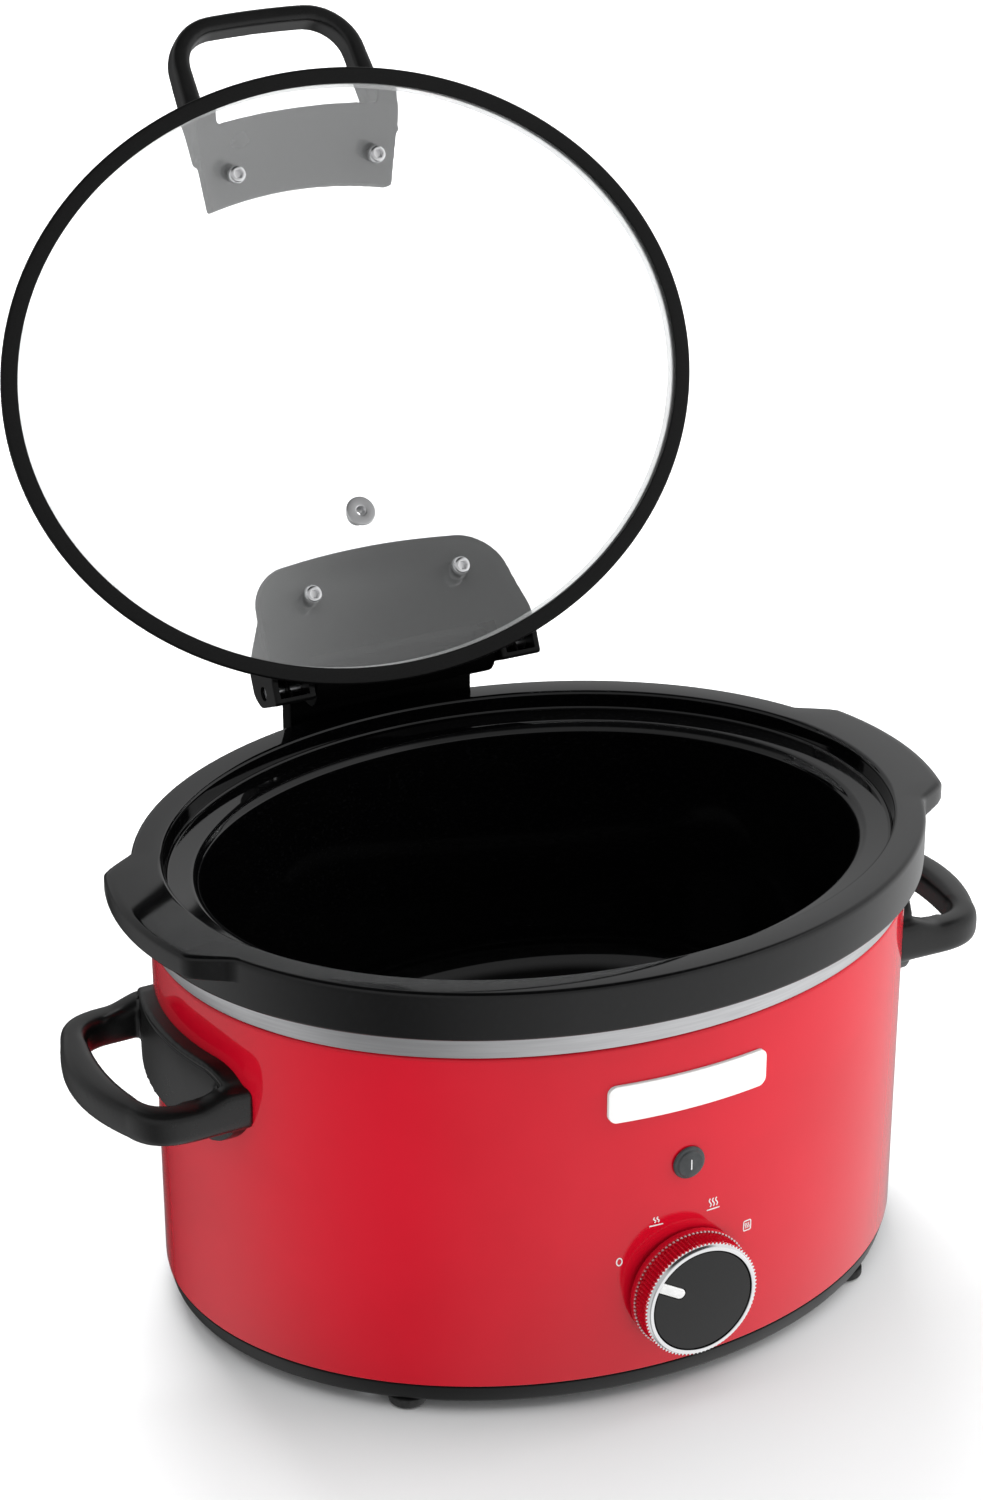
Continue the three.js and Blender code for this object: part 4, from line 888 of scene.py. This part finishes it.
def side_handle(side):
    outer = mirrored(loop_rail(156, HANDLE_HALF, 173, 176.8, 31, HANDLE_REACH, 134))
    inner = mirrored(loop_rail(155, HANDLE_HALF - 11.5, 168.6, 169.2, 21, 171, 134))
    near_wall = np.clip((155 - outer[:, 0]) / 14, 0, 1)
    rise = 3.6 * near_wall**2 * (3 - 2 * near_wall)
    low, high = HANDLE_Z - HANDLE_THICK / 2, HANDLE_Z + HANDLE_THICK / 2 + rise
    loop = rail_sweep("handle_loop", inner, outer, low, high, 3.2)
    a = float(wall_a(HANDLE_Z)) - 1
    pad = slab("handle_pad", *shell_patch(a, PAD_THICK + 1.4, PAD_HALF, PAD_LOW, PAD_HIGH, PAD_CORNER))
    lip = tube("handle_lip", lip_line(), 1.15, (0, 0.3, 1))
    handle = moulded(join(pad, loop, lip), 0.75, 6)
    groove = tube("handle_groove", pad_line(3.2, 120.5, PAD_THICK + 0.75), 0.75)
    outside = 0.05
    profile = [(0, 60), (float(wall_a(60)) + outside, 60), (float(wall_a(150)) + outside, 150), (0, 150)]
    clear = lathe("clear_of_wall", profile, closed=False)
    combine(handle, [groove, clear])
    handle.name = "side_grip_right" if side > 0 else "side_grip_left"

    def place(p):
        return pot_frame(p * np.array([side, side, 1]))

    node = "side_handle_right" if side > 0 else "side_handle_left"
    settle(handle, place, "base", "black_plastic", [node], sharp=60)


# -------------------- hinge
def hinge_arm():
    over = arc(POST_BACK - 12, 190, 12, 0, math.pi / 2, 12)
    under = arc(POST_FRONT - 7, 178.8, 7, math.pi / 2, 0, 8)
    side = [(POST_FRONT, 97), (POST_BACK, 97), *over, (PIVOT_Y, HINGE[2] + BARREL_R)]
    side += [(PIVOT_Y, HINGE[2] - BARREL_R + 0.4), (POST_FRONT - 7, 185.8), *under[1:]]
    arm = prism("hinge_arm", side, 0, -POST_HALF, POST_HALF)
    room = 60
    trims = []
    for s in (-1, 1):
        trims.append(rounded_box("trim", span(s, BARREL_HALF, room), (90, 127.5), (160, 215), 0.2))
    combine(arm, trims)
    barrel = prism("barrel", circle(PIVOT_Y, HINGE[2], BARREL_R, 64), 0, -BARREL_HALF, BARREL_HALF)
    combine(arm, [barrel], "UNION")
    moulded(arm, 0.8, 4)
    bore = prism("bore", circle(PIVOT_Y, HINGE[2], PIN_R + GAP, 40), 0, -room, room)
    combine(arm, [bore])
    settle(arm, pot_frame, "hinge_carrier", "black_plastic", ["hinge_post"], 50, "shaded_plastic")


def hinge_socket():
    a = float(wall_a(118)) + 0.9
    outline = rounded([
        (-SOCKET_HALF, 90, 0), (SOCKET_HALF, 90, 0),
        (SOCKET_HALF, POST_BACK + 4.5, 9), (-SOCKET_HALF, POST_BACK + 4.5, 9),
    ], steps=8)
    block = moulded(prism("hinge_socket", outline, 2, SOCKET_BOTTOM, SOCKET_TOP), 0.9, 4)
    wall = lathe("wall", [(0, 60), (a, 60), (a, 160), (0, 160)], closed=False)
    room = POST_HALF + 0.4
    slot = rounded_box("slot", (-room, room), (POST_FRONT - GAP, POST_BACK + GAP), (96, 200), 1)
    combine(block, [wall, slot])
    # the socket takes the painted-shade copy of the black plastic
    settle(block, pot_frame, "base", "black_plastic", ["post_socket"], 50, "shade_darkened_plastic")


def pin():
    half = 56
    profile = [(0, -half, 0), (PIN_R, -half, 0.5), (PIN_R, half, 0.5), (0, half, 0)]
    rod = turned_solid("hinge_rod", profile, 40)

    def place(p):
        return pot_frame(np.stack([p[:, 2], PIVOT_Y + p[:, 1], HINGE[2] + p[:, 0]], -1))

    settle(rod, place, "hinge_carrier", "steel", ["hinge_pin"])


# -------------------- lid
def lid_dome():
    a = np.concatenate([np.linspace(0, 110, 24), np.linspace(113, 136.7, 12)])
    under = np.stack([a, dome_z(a)], -1)
    over = under[::-1] + (0, GLASS)
    edge_low, edge_high = 1.7, LID_RING_HEIGHT - 1.4
    edge = np.array([(GLASS_EDGE_A, edge_low), (GLASS_EDGE_A, edge_high), (GLASS_EDGE_A - 3, edge_high)])
    dome = lathe("lid_dome", np.concatenate([under, edge, over]), closed=False)
    vent = prism("vent_hole", circle(0, 51.8, 4.4), 2, 0, 60)
    combine(dome, [vent])
    settle(dome, lid_frame, "lid", "lid_glass", ["lid_glass"])


def lid_rim():
    inner = LID_A - 6.5
    top = LID_RING_HEIGHT
    groove_a, groove_low, lip = GLASS_EDGE_A + GAP, 1.3, inner + 0.4
    profile = rounded([
        (inner, 0, 0.5), (LID_A, 0, 1.4), (LID_A - 0.3, 2.6, 1), (LID_A - 2, top, 0.8),
        (lip, top, 0.3), (lip, top - 1, 0.1),
        (groove_a, top - 1, 0.1), (groove_a, groove_low, 0.1), (inner, groove_low, 0.4),
    ])
    # the ring takes the painted-shade copy of the black plastic
    settle(lathe("lid_rim", profile), lid_frame, "lid", "black_plastic", ["lid_ring"], 35, "shade_darkened_plastic")


def plate_over_glass(name, rows, half_widths, lift, bow, columns=41):
    """A plate that follows the outside of the glass. bow(share) shifts each row at a share of its width."""
    share = np.linspace(-1, 1, columns)[None]
    x, rows = share * half_widths[:, None], rows[:, None]
    limit = depth_at(LID_A - 0.4, x)
    y = np.clip(rows + bow(share, rows), -limit, limit)
    base = np.maximum(glass_top(x, y), LID_RING_HEIGHT + 0.2) + GAP
    return slab(name, np.stack([x, y, base + lift], -1), np.stack([x, y, base], -1))


def glass_space():
    """The room of the glass and its ring, to cut out of what sits on them."""
    a = np.concatenate([np.linspace(0, 134, 30), [137.4]])
    top = np.maximum(dome_z(a) + GLASS, LID_RING_HEIGHT) + GAP
    over_ring = LID_RING_HEIGHT + GAP
    guard = [(0, -10), (LID_A + 6, -10), (LID_A + 6, over_ring), (LID_A - 0.3, over_ring)]
    return lathe("glass_space", np.concatenate([guard, np.stack([a, top], -1)[::-1]]), closed=False)


def lid_grip():
    rows = np.linspace(-71.5, -102, 16)
    widths = np.interp(-rows, [71.5, 98, 106], [38.2, 42.6, 42.6])

    def bow(share, y):
        end = np.interp(-y, [71.5, 102], [-4.5, -3.6])
        return end * (1 - share**2) * np.ones_like(y)

    plate = plate_over_glass("lid_grip", rows, widths, 6.8, bow)
    foot, reach = 8, 51
    half_foot, half_top, corner = 42, 40.6, 22
    wide, bar = 8.4, 7.4

    def rail(at_foot, at_top, end, radius, crown):
        side = np.linspace((-at_foot, foot), (-at_top, -end + radius), 14, endpoint=False)
        turn = arc(-at_top + radius, -end + radius, radius, np.pi, 1.5 * np.pi, 14)
        s = np.linspace(0, 1, 11)[1:]
        x = (-at_top + radius) * (1 - s)
        flat = np.stack([x, -end - crown * (1 - (1 - s) ** 2)], -1)
        return mirrored(np.concatenate([side, turn, flat]), (-1, 1))

    outer = rail(half_foot + 1, half_top, reach, corner, 0.5)
    inner = rail(half_foot - wide, half_top - wide + 1, reach - bar, corner - bar, 0.5)
    thick, lean = 10, math.radians(-18.5)
    loop = rail_sweep("grip_loop", inner, outer, 0, thick, 4.5)
    loop.data.transform(Matrix.Translation((0, -100, 14.7)) @ Matrix.Rotation(lean, 4, "X"))
    feet = []
    wedge = [(-95, 12), (-110, 6), (-113, 20), (-110, 27.5), (-103, 24), (-95, 18)]
    for s in (-1, 1):
        feet.append(prism("grip_foot", wedge, 0, *span(s, 34, 42.4)))
    sides = [(-38.2, -71.5), (-42.5, -98), (-42.5, -115), (42.5, -115), (42.5, -98), (38.2, -71.5)]
    feet = combine(join(*feet), [prism("sides", sides, 2, 0, 60)], "INTERSECT")
    handle = moulded(join(plate, loop, feet), 0.7, 4)
    combine(handle, [glass_space()])
    settle(handle, lid_frame, "lid", "black_plastic", ["lid_handle"], sharp=50)


def hinge_cover():
    corner = 15
    edge = np.append(corner_rows(corner, 10), [20, 26, 33, 38, 43, 47, 50])
    rows = 66.8 + edge
    full = np.interp(rows, [67, 78, 100, 110, 122], [50, 52.5, 56, 57, 57])

    def bow(share, y):
        return -2.0 * (1 - share**2) * np.clip(1 - (y - 67) / 20, 0, 1)

    plate = plate_over_glass("hinge_cover", rows, row_half(full, corner, edge), 5.4, bow)
    low, high = PIVOT_Z - 10.6, PIVOT_Z + 10.8
    outline = rounded([
        (80, low, 0), (CHEEK_END, low, 1.5), (CHEEK_END, high - 5, 2),
        (CHEEK_END - 4.5, high, 3), (100, high, 6), (80, high - 8, 0),
    ])
    skin = 2.4
    cheeks, pockets, ribs = [], [], []
    for s in (-1, 1):
        cheeks.append(prism("cheek", outline, 0, *span(s, CHEEK_INNER, CHEEK_OUTER)))
        x = span(s, CHEEK_INNER + skin, CHEEK_OUTER - skin)
        pockets.append(rounded_box("pocket", x, (106, CHEEK_END - skin), (LID_RING_HEIGHT, high - skin), 0.4))
        rib = [(105, low + 9), (CHEEK_END - 1, low + 2.5), (CHEEK_END - 1, high - 1), (105, high - 1)]
        ribs.append(prism("rib", rib, 0, s * 48.6 - 0.45, s * 48.6 + 0.45))
    trim = [(-58, 125), (-58, 110), (-56, 100), (-50, 78), (50, 78), (56, 100), (58, 110), (58, 125)]
    cheeks = join(*cheeks)
    combine(cheeks, [prism("trim", trim, 2, -5, 60)], "INTERSECT")
    cover = moulded(join(plate, cheeks), 0.65, 2)
    room = rounded_box("room", (-CHEEK_INNER, CHEEK_INNER), (102.6, 140), (-1, 50), 0.5)
    combine(cover, [room, *pockets])
    combine(cover, ribs, "UNION")
    bore = prism("bore", circle(PIVOT_Y, PIVOT_Z, PIN_R + GAP, 40), 0, -60, 60)
    combine(cover, [glass_space(), bore])
    # the cover takes the painted-shade copy of the black plastic
    settle(cover, lid_frame, "lid", "black_plastic", ["lid_bracket"], 50, "shade_darkened_plastic")


BOLTS = {
    "lid_handle_bolt_1": (-29.6, -83.4),
    "lid_handle_bolt_2": (29.6, -83.4),
    "lid_bracket_bolt_1": (-31.8, 79.2),
    "lid_bracket_bolt_2": (31.8, 79.2),
}


def lid_bolts():
    """Button heads with a hex socket, inside the glass. A point's third value is how hexagonal it is."""
    for name, (x, y) in BOLTS.items():
        seat = float(glass_top(x, y)) - GLASS - 1.6
        head, end = seat - 3.6, seat + GLASS + 5
        head_r, socket_r, shank_r = 3.6, 1.75, 1.85

        def socket(t, p):
            six = np.cos(np.pi / 6) / np.cos(np.mod(t, np.pi / 3) - np.pi / 6)
            return 1 + p[:, 2][None] * (six - 1)

        bolt = turned_solid("screw_" + name, [
            (0, head + 2.2, 1, 0), (socket_r, head + 2.2, 1, 0.2), (socket_r, head + 0.1, 1, 0.1),
            (2.2, head, 0.3, 0.3), (3.1, head + 0.25, 0, 0.6), (head_r, head + 1.6, 0, 0.8),
            (head_r, seat, 0, 0.2), (shank_r, seat, 0, 0.1), (shank_r, end, 0, 0.4), (0, end, 0, 0),
        ], 72, steps=4, flutes=socket)
        settle(bolt, lambda p: lid_frame(p + np.array([x, y, 0])), "lid", "chrome", [name], look="bolt_steel")


def vent_ring():
    y, step = 51.8, 0.5
    slope = float(glass_top(0, y - step) - glass_top(0, y + step)) / (2 * step)
    tilt = -math.atan(slope)
    under, top = -GLASS / 2 - 0.2, GLASS / 2
    bore_r, neck_r = 1.2, 4
    profile = rounded([
        (2, under - 1.8, 0.5), (5.9, under - 1.8, 0.9), (6, under - 0.9, 0.2), (neck_r, under - 0.9, 0.1),
        (neck_r, top + 1.1, 0.4), (2, top + 1.1, 0.3), (bore_r, top - 0.6, 0.3), (bore_r, under, 0.3),
    ])
    ring = lathe("vent_ring", profile, oval=False, segments=64)

    def place(p):
        over, up = turned(p[:, 1], p[:, 2], tilt)
        return lid_frame(np.stack([p[:, 0], y + over, float(glass_top(0, y)) - GLASS / 2 + up], -1))

    settle(ring, place, "lid", "steel", ["vent_eyelet"], look="satin_ring")


def gland():
    x, _, z = box_middle("cord_gland")
    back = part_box("cord_gland")[1].y / MM
    profile = rounded([
        (3.6, -19, 0.3), (5.9, -19, 0.5), (5.9, -3, 0.2), (9, -3, 0.3), (9, 0, 1.4), (3.6, 0, 0.8),
    ])
    ring = lathe("cord_outlet", profile, oval=False, segments=64)

    def place(p):
        return np.stack([x + p[:, 0], back + p[:, 2], z + p[:, 1]], -1) * MM

    settle(ring, place, "base", "foot_rubber", ["cord_gland"])


# -------------------- floor, light and camera
def floor():
    size = 14
    corners = [(-size, -size, 0), (size, -size, 0), (size, size, 0), (-size, size, 0)]
    plane = mesh_object("studio_floor", corners, [(0, 1, 2, 3)])
    n = Nodes("studio_floor")
    n.colour(n.noise(2), (0.9, 0.9, 0.905), (0.91, 0.91, 0.915))
    n.roughness(n.noise(3), 0.5, 0.6)
    n.set(Specular_IOR_Level=0.2)
    plane.data.materials.append(n.material)
    plane.location.z = -0.0005
    plane.visible_glossy = False


def sky():
    """The studio by direction: dim behind, soft boxes on the left and right, dark overhead."""
    world = bpy.data.worlds.new("studio")
    bpy.context.scene.world = world
    world.use_nodes = True
    tree = world.node_tree

    def add(kind, **sources):
        node = tree.nodes.new(kind)
        for key, source in sources.items():
            tree.links.new(source, node.inputs[int(key[1:])])
        return node

    split = add("ShaderNodeSeparateXYZ", _0=tree.nodes.new("ShaderNodeTexCoord").outputs["Generated"])
    forward = add("ShaderNodeMath", _0=split.outputs["Y"])
    forward.operation = "MULTIPLY"
    forward.inputs[1].default_value = -1
    heading = add("ShaderNodeMath", _0=split.outputs["X"], _1=forward.outputs[0])
    heading.operation = "ARCTAN2"
    turn = add("ShaderNodeMapRange", _0=heading.outputs[0])
    set_range(turn, -math.pi, math.pi)
    around = add("ShaderNodeValToRGB", _0=turn.outputs[0])
    around.color_ramp.interpolation = "CARDINAL"
    stops = {
        -180: 0.05, -150: 0.35, -112: 0.7, -56: 0.27, -30: 0.42,
        0: 0.76, 75: 1.0, 112: 0.8, 142: 0.4, 180: 0.05,
    }
    while len(around.color_ramp.elements) < len(stops):
        around.color_ramp.elements.new(0.5)
    for element, (degrees, value) in zip(around.color_ramp.elements, stops.items()):
        element.position = (degrees + 180) / 360
        element.color = (value, value, value, 1)

    def along(axis, start, end, low, high):
        node = add("ShaderNodeMapRange", _0=split.outputs[axis])
        node.interpolation_type = "SMOOTHSTEP"
        set_range(node, start, end, low, high)
        return node.outputs[0]

    upper = along("X", 0.3, 0.5, 0.5, 0.8)
    level = add("ShaderNodeMix", _0=along("Z", -0.05, 0.3, 0, 1), _2=around.outputs["Color"], _3=upper)
    strength = add("ShaderNodeMath", _0=level.outputs[0], _1=along("Z", 0.62, 0.88, 1, 0.08))
    strength.operation = "MULTIPLY"
    tree.links.new(strength.outputs[0], tree.nodes["Background"].inputs["Strength"])
    fill(tree.nodes["Background"], Color=(0.99, 0.995, 1, 1))


def aimed(name, data, place, target):
    """A light or camera at a place, turned towards a target."""
    obj = linked(name, data)
    obj.location = place
    obj.rotation_euler = (Vector(target) - Vector(place)).to_track_quat("-Z", "Y").to_euler()
    return obj


def area_light(name, place, target, size, power):
    """A soft box that lights surfaces without showing in their gloss."""
    data = bpy.data.lights.new(name, "AREA")
    data.shape, data.size, data.size_y = "RECTANGLE", size[0], size[1]
    data.energy = power
    aimed(name, data, place, target).visible_glossy = False


def lights():
    middle = (0, 0, 0.15)
    area_light("top_box", (0, 0.2, 2.5), middle, (4.4, 4.4), 84)
    area_light("back_box", (0.35, 1.7, 1.7), middle, (1.4, 1.2), 56)
    area_light("front_box", (-0.2, -2, 0.2), (0, 0, 0), (1.6, 0.3), 6)
    area_light("right_box", (2, -0.7, 0.9), middle, (1.2, 1.6), 24)


def camera():
    """Looks at the pot from its front left, from 25 degrees above."""
    azimuth, elevation, distance = math.radians(-27.16), math.radians(25.05), 1.4507
    target = Vector((-0.017, AXIS_Y * MM, 0.2091))
    level = math.cos(elevation)
    back = Vector((math.sin(azimuth) * level, -math.cos(azimuth) * level, math.sin(elevation)))
    data = bpy.data.cameras.new("camera")
    data.sensor_width, data.lens = 36, 96.02
    bpy.context.scene.camera = aimed("camera", data, target + back * distance, target)


camera()
floor()
sky()
lights()
bpy.context.scene.view_settings.view_transform = "Standard"

for part in frame["record"]["subparts"]:
    materials = frame["nodes"][part["node"]].data.materials
    materials.clear()
    materials.append(MATERIALS[part["material_slot"]])

body_wall()
base_ring()
liner_vessel()
rubber_feet()
stoneware_vessel()
badge()
indicator()
dial_marks()
dial_skirt()
dial_bezel()
dial_face()
dial_pointer()
side_handle(1)
side_handle(-1)
hinge_arm()
hinge_socket()
pin()
lid_dome()
lid_rim()
lid_grip()
hinge_cover()
lid_bolts()
vent_ring()
gland()
